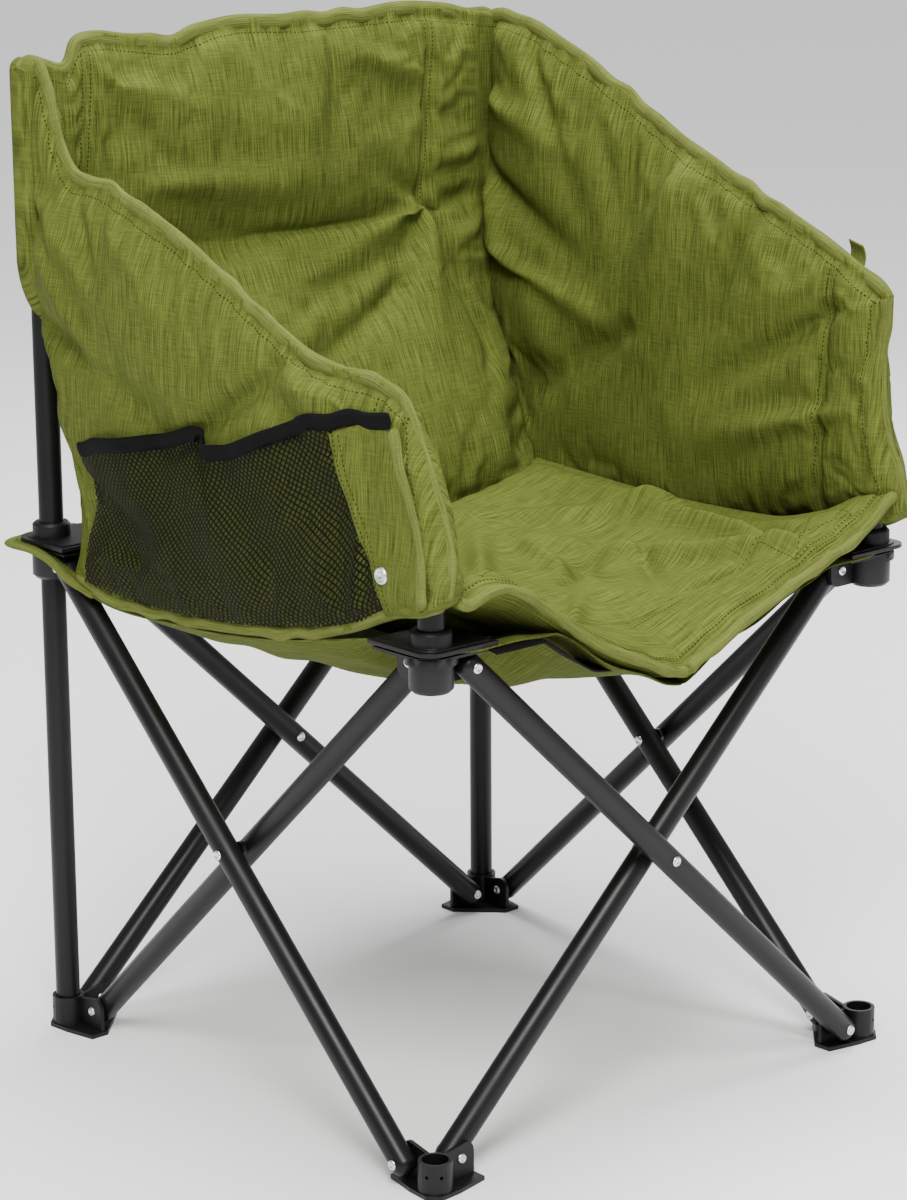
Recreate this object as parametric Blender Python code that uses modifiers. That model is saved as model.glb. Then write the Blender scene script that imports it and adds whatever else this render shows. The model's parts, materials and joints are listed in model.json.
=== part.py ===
"""Folding camp chair: a padded tub seat slung on a frame of four scissor pairs.

Metres, +Z up. The origin is on the floor, midway between the four feet. The chair faces -Y, and its
left is -X, as seen from in front. The frame repeats in quarter turns round the Z axis: corner 0 is the
front left, and side 0 is the front, which runs from corner 0 to corner 1.
"""

import math

import bmesh
import bpy
from mathutils import Matrix, Vector

# Frame, driving dimensions
POST_SPACING = 0.466
FOOT_PIVOT_HEIGHT = 0.018
HUB_PIVOT_HEIGHT = 0.402
TUBE_RADIUS = 0.010
TUBE_WALL = 0.0012
PIVOT_CLEARANCE = 0.009
EAR_INSET = 0.005
EAR_THICKNESS = 0.0035
GAP = 0.0004
POST_CLEARANCE = 0.0003
JOIN = 0.0015
DOME_OVERRUN = 0.001
DOME_START = 0.004
TUBE_SIDES = 16
ROUND_SIDES = 24

# Rivets and the bushes between crossing bars
RIVET_RADIUS = 0.0025
RIVET_HEAD_RADIUS = 0.0043
RIVET_HEAD_HEIGHT = 0.0016
RIVET_CROWN_SHARE = 0.8
RIVET_DIMPLE_RADIUS = 0.0017
RIVET_DIMPLE_DEPTH = 0.0007
RIVET_CLEARANCE = 0.0002
RIVET_SIDES = 10
BUSH_RADIUS = 0.0065

# Feet
SOCKET_WALL = 0.0029
SOCKET_HEIGHT = 0.027
BASE_THICKNESS = 0.0035
BASE_MARGIN = 0.0015
BASE_CORNER = 0.006
BASE_LIP = 0.004
BASE_WAIST = 0.026
FOOT_EAR_RISE = 0.012
FOOT_EAR_REACH = 0.014
EAR_END_RADIUS = 0.008
PEEP_HOLE_RADIUS = 0.0015
PEEP_HOLE_DROP = 0.010
PEEP_HOLE_ANGLES = (200, 250)

# Hubs and the caps that clamp the sling to them
BOSS_WALL = 0.0062
BOSS_DROP = 0.015
BOSS_CHAMFER = 0.003
HUB_LIP_WALL = 0.0092
HUB_LIP_THICKNESS = 0.005
HUB_EAR_DROP = 0.013
HUB_EAR_REACH = 0.0125
FLANGE_THICKNESS = 0.002
FLANGE_OUTSIDE = 0.019
FLANGE_REACH = 0.014
FLANGE_WAIST = 0.010
CAP_OUTSIDE = 0.022
CAP_REACH = 0.016
CAP_THICKNESS = 0.004
CAP_CORNER_RADIUS = 0.014
CAP_INNER_CHAMFER = 0.012
CAP_STEP_INSET = 0.0045
CAP_STEP_HEIGHT = 0.0009
COLLAR_WALL = 0.0052
COLLAR_HEIGHT = 0.0115
COLLAR_CHAMFER = 0.002

# Posts, as rises above the hubs' top face
REAR_POST_RISE = 0.382
ARM_POST_RISE = 0.120
ARM_POST_BOSS_LIFT = 0.001

# Sling
SLING_THICKNESS = 0.0016
SLING_REACH = 0.034
SLING_CORNER_RADIUS = 0.020
SLING_WAIST = 0.014
SLING_HOLE_CLEARANCE = 0.001
SLING_SIDE_SAG = 0.030
SLING_FRONT_SAG = 0.062
SLING_MIDDLE_SAG = 0.082
SAG_ONSET = 0.060
CLAMP_MARGIN = 0.002
HALF_GAP = 0.0002
SHEET_SHARES = (0.70, 0.35, 0.0)
SEAT_HINGE_INSET = 0.033

# Tub: seat pad, walls, back panel. Rises are above the hubs' top face
PAD_THICKNESS = 0.030
PAD_LIFT = 0.003
PAD_CAP_LIFT = 0.0055
PAD_FRONT_REACH = 0.029
PAD_REAR_SETBACK = 0.108
WALL_THICKNESS = 0.034
WALL_FRONT_REACH = 0.029
WALL_SEAT_GAP = 0.004
WALL_SLING_GAP = 0.004
WALL_COLLAR_GAP = 0.003
WALL_STATIONS = 6
BACK_THICKNESS = 0.034
BACK_ABOVE_POST = 0.0196
BACK_CORNER = 0.012
BACK_SLEEVE_RISE = 0.195
BACK_SEAM_RISE = 0.225
BACK_FOOT_RISE = 0.029
BACK_OVERHANG = 0.023
BACK_WALL_GAP = 0.0012

# Pocket, webbing and snaps
POCKET_DEPTH = 0.016
POCKET_SHEET = 0.0018
POCKET_MOUTH_POINTS = 5
STRAP_WIDTH = 0.025
STRAP_THICKNESS = 0.0016
STRAP_INSET = 0.003
STRAP_DROP = 0.004
STRAP_STEPS = 12
SNAP_RADIUS = 0.0062
SNAP_HEIGHT = 0.0025
SNAP_SIDES = 16
SNAP_FACE_SHARE = 0.75
SNAP_PLACE = (0.12, 0.055)

# Outlines of the walls and the pocket: share of the wall's depth from its front, and rise above the hubs
WALL_REAR_EDGE = ((0.923, 0.025), (0.948, 0.085), (0.985, 0.165))
LEFT_WALL_TOP = (
    (1.0, 0.355), (0.980, 0.325), (0.843, 0.305), (0.591, 0.265), (0.371, 0.213),
    (0.245, 0.199), (0.130, 0.189), (0.050, 0.150), (0.013, 0.085),
)
RIGHT_WALL_TOP = (
    (1.0, 0.398), (0.927, 0.397), (0.822, 0.376), (0.696, 0.347), (0.518, 0.304),
    (0.392, 0.284), (0.172, 0.243), (0.025, 0.207), (0.017, 0.125),
)
WALL_FRONT_RISE = 0.055
POCKET_OUTLINE = (
    (0.910, 0.085), (0.612, 0.113), (0.508, 0.125), (0.319, 0.151), (0.256, 0.151),
    (0.224, 0.105), (0.172, 0.037), (0.508, -0.003), (0.812, -0.003),
)

# Worked out from the dimensions above
POST = POST_SPACING / 2
PIVOT_INSET = 2 * TUBE_RADIUS + PIVOT_CLEARANCE
BAR_OVERRUN = TUBE_RADIUS + DOME_OVERRUN
BORE_RADIUS = TUBE_RADIUS + POST_CLEARANCE
CORE_RADIUS = BORE_RADIUS - 2 * JOIN
REACH = POST - PIVOT_INSET
RISE = HUB_PIVOT_HEIGHT - FOOT_PIVOT_HEIGHT
BAR_LENGTH = math.hypot(2 * REACH, RISE)
BAR_ANGLE = math.atan2(RISE, 2 * REACH)
BAR_OFFSET = EAR_THICKNESS / 2 + GAP + TUBE_RADIUS
MIDDLE_HEIGHT = (HUB_PIVOT_HEIGHT + FOOT_PIVOT_HEIGHT) / 2
HOLE_RADIUS = RIVET_RADIUS + RIVET_CLEARANCE
EAR_PLANE = POST - EAR_INSET
FLANGE_BOTTOM = HUB_PIVOT_HEIGHT + BAR_OVERRUN + GAP
HUB_TOP = FLANGE_BOTTOM + FLANGE_THICKNESS
SLING_CORNER_Z = HUB_TOP + GAP + SLING_THICKNESS / 2
CAP_BOTTOM = SLING_CORNER_Z + SLING_THICKNESS / 2 + GAP
CAP_TOP = CAP_BOTTOM + CAP_THICKNESS
CAP_INSIDE = PIVOT_INSET + CAP_REACH
COLLAR_TOP = CAP_TOP + COLLAR_HEIGHT
REAR_POST_TOP = HUB_TOP + REAR_POST_RISE
ARM_POST_TOP = HUB_TOP + ARM_POST_RISE
FLAT_FROM = POST - CAP_INSIDE - CLAMP_MARGIN
SLING_HALF = POST + SLING_REACH
WALL_INNER = POST - WALL_THICKNESS / 2
WALL_OUTER = POST + WALL_THICKNESS / 2
WALL_FRONT = -POST - WALL_FRONT_REACH
WALL_REAR = POST - BACK_THICKNESS / 2 - BACK_WALL_GAP
WALL_OVER_CAP = COLLAR_TOP + WALL_COLLAR_GAP
PAD_SIDE = WALL_INNER - WALL_SEAT_GAP
PAD_FRONT = -POST - PAD_FRONT_REACH
PAD_REAR = POST - PAD_REAR_SETBACK
BACK_TOP = REAR_POST_TOP + BACK_ABOVE_POST
BELOW_TUB = HUB_TOP / 2

CORNERS = ("front_left", "front_right", "rear_right", "rear_left")
SIDES = ("front", "right", "rear", "left")

COLOURS = {
    "black_plastic": ((0.018, 0.018, 0.019), 0.45, 0.0),
    "black_enamel": ((0.025, 0.025, 0.026), 0.40, 0.3),
    "zinc": ((0.72, 0.74, 0.75), 0.28, 1.0),
    "olive_cloth": ((0.21, 0.25, 0.07), 0.85, 0.0),
    "olive_sling": ((0.17, 0.21, 0.06), 0.85, 0.0),
    "black_mesh": ((0.015, 0.015, 0.015), 0.80, 0.0),
}


def clear_scene():
    for item in list(bpy.data.objects):
        bpy.data.objects.remove(item)


def new_collection(name, helper=False):
    made = bpy.data.collections.new(name)
    made.hide_render = helper
    bpy.context.scene.collection.children.link(made)
    return made


def material(name):
    """The Principled material of that finish, made the first time it is asked for."""
    if name in bpy.data.materials:
        return bpy.data.materials[name]
    colour, roughness, metallic = COLOURS[name]
    made = bpy.data.materials.new(name)
    made.use_nodes = True
    shader = made.node_tree.nodes["Principled BSDF"]
    shader.inputs["Base Color"].default_value = (*colour, 1.0)
    shader.inputs["Roughness"].default_value = roughness
    shader.inputs["Metallic"].default_value = metallic
    made.diffuse_color = (*colour, 1.0)
    return made


def helper_object(name, mesh):
    made = bpy.data.objects.new(name, mesh)
    made.hide_render = True
    made.display_type = "WIRE"
    HELPERS.objects.link(made)
    return made


def add_part(name, mesh, finish, matrix=None):
    """A named solid of the chair, with a material slot of its own."""
    made = bpy.data.objects.new(name, mesh.copy())
    made.data.name = name
    made.data.materials.clear()
    made.data.materials.append(material(finish))
    made.data.shade_smooth()
    made.data.set_sharp_from_angle(angle=math.radians(35))
    made.matrix_world = matrix or Matrix.Identity(4)
    PARTS.objects.link(made)
    return made


def evaluated_mesh(item):
    """The item's mesh with its modifiers applied and its place kept."""
    bpy.context.view_layer.update()
    graph = bpy.context.evaluated_depsgraph_get()
    mesh = bpy.data.meshes.new_from_object(item.evaluated_get(graph))
    mesh.transform(item.matrix_world)
    work = bmesh.new()
    work.from_mesh(mesh)
    bmesh.ops.remove_doubles(work, verts=work.verts, dist=1e-6)
    work.to_mesh(mesh)
    work.free()
    return mesh


def cylinder(name, radius, low, high, sides=TUBE_SIDES, top_radius=None):
    """A closed round block along Z."""
    work = bmesh.new()
    bmesh.ops.create_cone(
        work, cap_ends=True, segments=sides, radius1=radius,
        radius2=radius if top_radius is None else top_radius, depth=high - low,
    )
    bmesh.ops.translate(work, verts=work.verts, vec=(0, 0, (low + high) / 2))
    mesh = bpy.data.meshes.new(name)
    work.to_mesh(mesh)
    work.free()
    return helper_object(name, mesh)


def turned(name, profile, sides):
    """A solid of revolution about Z. The profile of (radius, height) runs down its outer side."""
    mesh = bpy.data.meshes.new(name + "_profile")
    count = len(profile)
    closed = profile[0][0] > 0
    edges = [(i, i + 1) for i in range(count - 1)] + ([(count - 1, 0)] if closed else [])
    mesh.from_pydata([(radius, 0, height) for radius, height in profile], edges, [])
    item = helper_object(name, mesh)
    screw = item.modifiers.new("turn", "SCREW")
    screw.steps = screw.render_steps = sides
    screw.use_merge_vertices = True
    screw.merge_threshold = 0.00001
    return helper_object(name + "_turned", evaluated_mesh(item))


def plate(name, outline, low, high, axes="XY"):
    """A flat outline with a thickness. Its points lie in the two named axes, low to high in the third."""
    curve = bpy.data.curves.new(name, "CURVE")
    curve.dimensions = "2D"
    curve.fill_mode = "BOTH"
    curve.extrude = (high - low) / 2
    spline = curve.splines.new("POLY")
    spline.points.add(len(outline) - 1)
    for point, (first, second) in zip(spline.points, outline):
        point.co = (first, second, 0, 1)
    spline.use_cyclic_u = True
    item = helper_object(name + "_curve", curve)
    mesh = evaluated_mesh(item)
    bpy.data.objects.remove(item)
    turn = {"XY": Matrix.Identity(4), "YZ": Matrix(((0, 0, 1, 0), (1, 0, 0, 0), (0, 1, 0, 0), (0, 0, 0, 1))),
            "XZ": Matrix(((1, 0, 0, 0), (0, 0, -1, 0), (0, 1, 0, 0), (0, 0, 0, 1)))}[axes]
    middle = (low + high) / 2
    mesh.transform(turn @ Matrix.Translation((0, 0, -middle if axes == "XZ" else middle)))
    return helper_object(name, mesh)


def boolean(target, other, operation):
    modifier = target.modifiers.new(operation.lower(), "BOOLEAN")
    modifier.operation = operation
    modifier.object = other
    return target


def union(target, *others):
    for other in others:
        boolean(target, other, "UNION")
    return target


def cut(target, *others):
    for other in others:
        boolean(target, other, "DIFFERENCE")
    return target


def arc(centre, radius, start, end, steps):
    """Points on an arc, from one angle to the other in degrees."""
    angles = [math.radians(start + (end - start) * i / steps) for i in range(steps + 1)]
    return [(centre[0] + radius * math.cos(a), centre[1] + radius * math.sin(a)) for a in angles]


def quarter_turn(corner):
    return Matrix.Rotation(math.radians(90 * corner), 4, "Z")


def corner_matrix(corner):
    """Takes a piece drawn about a post axis at the front left corner to its own corner."""
    return quarter_turn(corner) @ Matrix.Translation((-POST, -POST, 0))


def ear_pair(name, outline):
    """Two ears of one outline, drawn as (distance along the side, height), on the two side planes."""
    inner = EAR_INSET - EAR_THICKNESS / 2
    outer = EAR_INSET + EAR_THICKNESS / 2
    return plate(name + "_front_ear", outline, inner, outer, "XZ"), plate(
        name + "_side_ear", outline, inner, outer, "YZ")


def rivet_holes(name, height):
    """Cutters for the rivet through each ear."""
    holes = []
    for axis, place in (("X", (EAR_INSET, PIVOT_INSET, height)), ("Y", (PIVOT_INSET, EAR_INSET, height))):
        hole = cylinder(f"{name}_hole_{axis}", HOLE_RADIUS, -EAR_THICKNESS, EAR_THICKNESS, RIVET_SIDES)
        turn = Matrix.Rotation(math.radians(90), 4, "Y" if axis == "X" else "X")
        hole.data.transform(Matrix.Translation(place) @ turn)
        holes.append(hole)
    return holes


def make_feet():
    """Moulded feet: base plate, post socket and two ears. The front pair's sockets are empty."""
    socket_radius = BORE_RADIUS + SOCKET_WALL
    ear_length = PIVOT_INSET + FOOT_EAR_REACH
    ear_height = FOOT_PIVOT_HEIGHT + FOOT_EAR_RISE
    under_bar = EAR_INSET - BAR_OFFSET
    inside = EAR_INSET + BASE_LIP
    nose = -socket_radius - BASE_MARGIN
    base = plate("foot_base", (
        (nose, -BASE_CORNER), (-BASE_CORNER, nose), (FOOT_EAR_REACH, under_bar - BASE_CORNER),
        (ear_length, under_bar), (ear_length, inside), (BASE_WAIST, BASE_WAIST),
        (inside, ear_length), (under_bar, ear_length), (under_bar - BASE_CORNER, FOOT_EAR_REACH),
    ), 0, BASE_THICKNESS)
    low = BASE_THICKNESS - JOIN
    end = ear_length - JOIN
    rounded = arc((end - EAR_END_RADIUS, ear_height - EAR_END_RADIUS), EAR_END_RADIUS, 0, 90, 4)
    root = socket_radius - JOIN
    ears = ear_pair("foot", [(root, low), (end, low)] + rounded + [(root, SOCKET_HEIGHT - JOIN)])
    socket = cylinder("foot_socket", socket_radius, low, SOCKET_HEIGHT, ROUND_SIDES)
    bore = cylinder("foot_bore", BORE_RADIUS, BASE_THICKNESS, SOCKET_HEIGHT + TUBE_RADIUS, ROUND_SIDES)
    union(base, socket, *ears)
    cut(base, bore, *rivet_holes("foot", FOOT_PIVOT_HEIGHT))
    for index, angle in enumerate(PEEP_HOLE_ANGLES):
        peep = cylinder(f"foot_peep_{index}", PEEP_HOLE_RADIUS, 0, 2 * socket_radius, RIVET_SIDES)
        peep.data.transform(
            Matrix.Translation((0, 0, SOCKET_HEIGHT - PEEP_HOLE_DROP))
            @ Matrix.Rotation(math.radians(angle), 4, "Z")
            @ Matrix.Rotation(math.radians(90), 4, "Y"))
        cut(base, peep)
    mesh = evaluated_mesh(base)
    for corner, name in enumerate(CORNERS):
        add_part(f"foot_{name}", mesh, "black_plastic", corner_matrix(corner))


def make_hubs():
    """Moulded hubs: a boss round the post, a lip, two ears and a thin flange under the sling."""
    boss_radius = BORE_RADIUS + BOSS_WALL
    boss_bottom = HUB_PIVOT_HEIGHT - BOSS_DROP
    joined_top = HUB_TOP - FLANGE_THICKNESS / 4
    boss = turned("hub_boss", (
        (boss_radius, joined_top), (boss_radius, boss_bottom + BOSS_CHAMFER),
        (boss_radius - BOSS_CHAMFER, boss_bottom), (CORE_RADIUS, boss_bottom),
        (CORE_RADIUS, joined_top)), ROUND_SIDES)
    lip = cylinder("hub_lip", BORE_RADIUS + HUB_LIP_WALL, FLANGE_BOTTOM - HUB_LIP_THICKNESS,
                   HUB_TOP - FLANGE_THICKNESS / 2, ROUND_SIDES)
    ear_length = PIVOT_INSET + HUB_EAR_REACH
    ear_low = HUB_PIVOT_HEIGHT - HUB_EAR_DROP
    ear_high = FLANGE_BOTTOM + FLANGE_THICKNESS / 4
    rounded = arc((ear_length - EAR_END_RADIUS, ear_low + EAR_END_RADIUS), EAR_END_RADIUS, -67.5, 0, 3)
    root = boss_radius - JOIN
    ears = ear_pair("hub", [(root, ear_low), (ear_length - EAR_END_RADIUS, ear_low)] + rounded + [
        (ear_length, ear_high), (root, ear_high)])
    inside = PIVOT_INSET + FLANGE_REACH
    flange = plate("hub_flange", [
        (-FLANGE_OUTSIDE, -BASE_CORNER), (-BASE_CORNER, -FLANGE_OUTSIDE), (inside, -FLANGE_OUTSIDE),
        (inside, FLANGE_WAIST), (FLANGE_WAIST, inside), (-FLANGE_OUTSIDE, inside)], FLANGE_BOTTOM, HUB_TOP)
    bore = cylinder("hub_bore", BORE_RADIUS, boss_bottom - JOIN, HUB_TOP + JOIN, ROUND_SIDES)
    union(flange, boss, lip, *ears)
    cut(flange, bore, *rivet_holes("hub", HUB_PIVOT_HEIGHT))
    mesh = evaluated_mesh(flange)
    for corner, name in enumerate(CORNERS):
        add_part(f"hub_{name}", mesh, "black_plastic", corner_matrix(corner))


def cap_outline(inset):
    """The cap seen from above: a square with a rounded outer corner, drawn in by the inset."""
    outside = CAP_OUTSIDE - inset
    inside = CAP_INSIDE - inset
    chamfered = inside - CAP_INNER_CHAMFER
    centre = CAP_CORNER_RADIUS - outside
    return arc((centre, centre), CAP_CORNER_RADIUS, 180, 270, 5) + [
        (inside, -outside), (inside, chamfered), (chamfered, inside), (-outside, inside)]


def make_caps():
    """Caps: a stepped square plate with a collar round the post, clamped on the sling's corner."""
    step_bottom = CAP_TOP - CAP_STEP_HEIGHT
    cap = plate("cap_plate", cap_outline(0), CAP_BOTTOM, step_bottom)
    step = plate("cap_step", cap_outline(CAP_STEP_INSET), step_bottom - CAP_STEP_HEIGHT, CAP_TOP)
    collar_radius = BORE_RADIUS + COLLAR_WALL
    collar = turned("cap_collar", (
        (collar_radius - COLLAR_CHAMFER, COLLAR_TOP), (collar_radius, COLLAR_TOP - COLLAR_CHAMFER),
        (collar_radius, CAP_TOP - CAP_STEP_HEIGHT), (CORE_RADIUS, CAP_TOP - CAP_STEP_HEIGHT),
        (CORE_RADIUS, COLLAR_TOP)), ROUND_SIDES)
    bore = cylinder("cap_bore", BORE_RADIUS, CAP_BOTTOM - JOIN, COLLAR_TOP + JOIN, ROUND_SIDES)
    union(cap, step, collar)
    cut(cap, bore)
    mesh = evaluated_mesh(cap)
    for corner, name in enumerate(CORNERS):
        add_part(f"hub_cap_{name}", mesh, "black_plastic", corner_matrix(corner))


def tube(name, low, high, place):
    """A straight post, open at both ends."""
    inner = TUBE_RADIUS - TUBE_WALL
    post = turned(name + "_pattern", ((TUBE_RADIUS, high), (TUBE_RADIUS, low), (inner, low), (inner, high)),
                  TUBE_SIDES)
    add_part(name, post.data, "black_enamel", Matrix.Translation((*place, 0)))


def make_posts():
    """Rear posts stand in the rear feet and pass through the rear hubs; arm posts stand in the front hubs."""
    arm_bottom = HUB_PIVOT_HEIGHT - BOSS_DROP + ARM_POST_BOSS_LIFT
    for name, across in (("left", -POST), ("right", POST)):
        tube(f"post_rear_{name}", BASE_THICKNESS + GAP, REAR_POST_TOP, (across, POST))
        tube(f"arm_post_{name}", arm_bottom, ARM_POST_TOP, (across, -POST))


def bar_mesh():
    """A scissor bar along Z about its middle: a tube with domed ends and three rivet holes along Y."""
    half = BAR_LENGTH / 2
    dome = [(TUBE_RADIUS * math.cos(a), DOME_START + (BAR_OVERRUN - DOME_START) * math.sin(a))
            for a in (math.radians(d) for d in (90, 62, 34, 0))]
    dome[0] = (0.0, dome[0][1])
    profile = [(radius, half + height) for radius, height in dome]
    profile += [(radius, -half - height) for radius, height in reversed(dome)]
    bar = turned("bar_pattern", profile, TUBE_SIDES)
    cavity = cylinder("bar_cavity", TUBE_RADIUS - TUBE_WALL, -half - DOME_START, half + DOME_START)
    cut(bar, cavity)
    for index, height in enumerate((-half, 0, half)):
        hole = cylinder(f"bar_hole_{index}", HOLE_RADIUS, -2 * TUBE_RADIUS, 2 * TUBE_RADIUS, RIVET_SIDES)
        hole.data.transform(Matrix.Translation((0, 0, height)) @ Matrix.Rotation(math.radians(90), 4, "X"))
        cut(bar, hole)
    return evaluated_mesh(bar)


def rivet_mesh(length):
    """A rivet along Z from 0 to its length between heads, each head dished in the middle."""
    head = RIVET_HEAD_HEIGHT
    profile = [
        (0.0, length + head - RIVET_DIMPLE_DEPTH), (RIVET_DIMPLE_RADIUS, length + head),
        (RIVET_HEAD_RADIUS * 0.8, length + head), (RIVET_HEAD_RADIUS, length), (RIVET_RADIUS, length),
        (RIVET_RADIUS, 0), (RIVET_HEAD_RADIUS, 0), (RIVET_HEAD_RADIUS * 0.8, -head),
        (RIVET_DIMPLE_RADIUS, -head), (0.0, RIVET_DIMPLE_DEPTH - head),
    ]
    return turned("rivet_pattern", profile, RIVET_SIDES).data


def side_point(along, outward, height):
    """A point of side 0, the front: distance along it, distance out from the ears' plane, and height."""
    return Vector((along, -EAR_PLANE - outward, height))


def make_scissors():
    """Eight equal bars in four crossing pairs, with their rivets and the bush between each pair."""
    bar = bar_mesh()
    slack = RIVET_CLEARANCE
    through_ear = rivet_mesh(2 * TUBE_RADIUS + EAR_THICKNESS + GAP + 2 * slack)
    through_bars = rivet_mesh(2 * BAR_OFFSET + 2 * TUBE_RADIUS + 2 * slack)
    bush_half = BAR_OFFSET - TUBE_RADIUS - GAP
    bush = turned("bush_pattern", (
        (BUSH_RADIUS, bush_half), (BUSH_RADIUS, -bush_half), (HOLE_RADIUS, -bush_half),
        (HOLE_RADIUS, bush_half)), RIVET_SIDES).data
    outward = Matrix.Rotation(math.radians(90), 4, "X")
    for side, name in enumerate(SIDES):
        turn = quarter_turn(side)
        for kind, sign in (("outer", 1), ("inner", -1)):
            # The outer bar falls from its side's first hub to the second foot, the inner bar rises.
            lean = Matrix.Rotation(-sign * (math.pi / 2 - BAR_ANGLE), 4, "Y")
            centre = side_point(0, sign * BAR_OFFSET, MIDDLE_HEIGHT)
            add_part(f"bar_{name}_{kind}", bar, "black_enamel", turn @ Matrix.Translation(centre) @ lean)
            for end, along, height in (("top", -sign * REACH, HUB_PIVOT_HEIGHT),
                                       ("bottom", sign * REACH, FOOT_PIVOT_HEIGHT)):
                start = -EAR_THICKNESS / 2 - slack if sign > 0 else -BAR_OFFSET - TUBE_RADIUS - slack
                matrix = turn @ Matrix.Translation(side_point(along, start, height)) @ outward
                add_part(f"rivet_{name}_{kind}_{end}", through_ear, "zinc", matrix)
        start = side_point(0, -BAR_OFFSET - TUBE_RADIUS - slack, MIDDLE_HEIGHT)
        add_part(f"rivet_{name}_middle", through_bars, "zinc", turn @ Matrix.Translation(start) @ outward)
        centre = turn @ Matrix.Translation(side_point(0, 0, MIDDLE_HEIGHT)) @ outward
        add_part(f"bush_{name}", bush, "black_plastic", centre)


def bowl(value, limit):
    """One in the middle, falling to nought at the limit either way."""
    return max(0.0, 1 - (value / limit) ** 2)


def beyond_caps(x, y):
    """Nought where the caps clamp the sling flat, rising to one away from them."""
    away = max(0.0, FLAT_FROM - abs(x)) + max(0.0, FLAT_FROM - abs(y))
    return min(1.0, away / SAG_ONSET)


def sling_height(x, y):
    """Height of the sling's mid surface: flat at the corners, sagging at the edges, most in the centre."""
    across = bowl(x, SLING_HALF)
    along = bowl(y, SLING_HALF)
    sag = SLING_SIDE_SAG * along * (1 - across) + SLING_FRONT_SAG * across * (1 - along)
    sag += SLING_MIDDLE_SAG * across * along
    return SLING_CORNER_Z - sag * beyond_caps(x, y)


def sling_edge(y):
    """Half width of the sling at y: waisted between its corners, with the corners rounded."""
    waist = SLING_WAIST * bowl(y, FLAT_FROM)
    past = max(0.0, abs(y) - (SLING_HALF - SLING_CORNER_RADIUS))
    rounding = SLING_CORNER_RADIUS - math.sqrt(max(0.0, SLING_CORNER_RADIUS ** 2 - past ** 2))
    return SLING_HALF - waist - rounding


def inner_columns():
    """Distances from the centre line that every sheet over the seat shares, outermost first."""
    return [FLAT_FROM] + [FLAT_FROM * share for share in SHEET_SHARES[:-1]] + [HALF_GAP]


def middle_rows():
    """Rows from front to rear that every sheet over the seat shares."""
    ahead = [-FLAT_FROM * share for share in (1.0, *SHEET_SHARES)]
    return ahead + [FLAT_FROM * SHEET_SHARES[1], PAD_REAR]


def sheet(name, columns, rows, height, thickness, side):
    """A sheet over a grid of columns(y) by rows, given a thickness upwards from height(x, y)."""
    count = len(columns(0.0))
    work = bmesh.new()
    bmesh.ops.create_grid(work, x_segments=count - 1, y_segments=len(rows) - 1, size=1.0)
    for vert in work.verts:
        column = round((vert.co.x + 1) / 2 * (count - 1))
        row = round((vert.co.y + 1) / 2 * (len(rows) - 1))
        y = rows[row]
        x = columns(y)[column] * side
        vert.co = (x, y, height(x, y))
    bmesh.ops.triangulate(work, faces=work.faces, quad_method="FIXED")
    raised = bmesh.ops.extrude_face_region(work, geom=work.faces[:], use_keep_orig=True)["geom"]
    upper = [item for item in raised if isinstance(item, bmesh.types.BMVert)]
    bmesh.ops.translate(work, verts=upper, vec=(0, 0, thickness))
    bmesh.ops.recalc_face_normals(work, faces=work.faces)
    mesh = bpy.data.meshes.new(name)
    work.to_mesh(mesh)
    work.free()
    return helper_object(name, mesh)


def make_sling():
    """The sling, in two halves that meet on the centre line, with a hole for each post."""
    corner = SLING_HALF - SLING_CORNER_RADIUS
    nose = SLING_HALF - SLING_CORNER_RADIUS / 3
    rows = [-SLING_HALF, -nose, -corner, *middle_rows(), FLAT_FROM, corner, nose, SLING_HALF]
    for name, side in (("left", -1), ("right", 1)):
        item = sheet(
            f"sling_{name}_sheet", lambda y: [sling_edge(y), *inner_columns()], rows,
            lambda x, y: sling_height(x, y) - SLING_THICKNESS / 2, SLING_THICKNESS, side)
        for corner in range(4):
            centre = corner_matrix(corner).translation
            if centre.x * side > 0:
                hole = cylinder(f"sling_hole_{corner}", BORE_RADIUS + SLING_HOLE_CLEARANCE, BELOW_TUB, CAP_TOP)
                hole.data.transform(Matrix.Translation((centre.x, centre.y, 0)))
                cut(item, hole)
        add_part(f"sling_{name}", evaluated_mesh(item), "olive_sling")


def pad_underside(x, y):
    lift = PAD_LIFT + PAD_CAP_LIFT * (1 - beyond_caps(x, y))
    return sling_height(x, y) + SLING_THICKNESS / 2 + lift


def make_seat_pad():
    """The seat pad, in two halves like the sling that it lies on."""
    rows = [PAD_FRONT, SLING_CORNER_RADIUS - SLING_HALF, *middle_rows()]
    for name, side in (("left", -1), ("right", 1)):
        item = sheet(f"seat_pad_{name}_sheet", lambda y: [PAD_SIDE, *inner_columns()], rows,
                     pad_underside, PAD_THICKNESS, side)
        add_part(f"seat_pad_{name}", item.data, "olive_cloth")


def on_wall(points):
    """Points given as a share of the wall's depth and a rise above the hubs, as (y, z)."""
    return [(WALL_FRONT + share * (WALL_REAR - WALL_FRONT), HUB_TOP + rise) for share, rise in points]


def wall_outline(top):
    """The side wall's outline: its lower edge keeps just above the sling and steps over the front cap."""
    rear_edge = on_wall(WALL_REAR_EDGE)
    depth = rear_edge[0][0] + FLAT_FROM
    stations = [depth * i / WALL_STATIONS - FLAT_FROM for i in range(WALL_STATIONS + 1)]
    lower = [(y, sling_height(WALL_OUTER, y) + SLING_THICKNESS / 2 + WALL_SLING_GAP) for y in stations]
    return lower + rear_edge + on_wall(top) + [
        (WALL_FRONT, HUB_TOP + WALL_FRONT_RISE), (WALL_FRONT, WALL_OVER_CAP), (-FLAT_FROM, WALL_OVER_CAP)]


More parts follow.
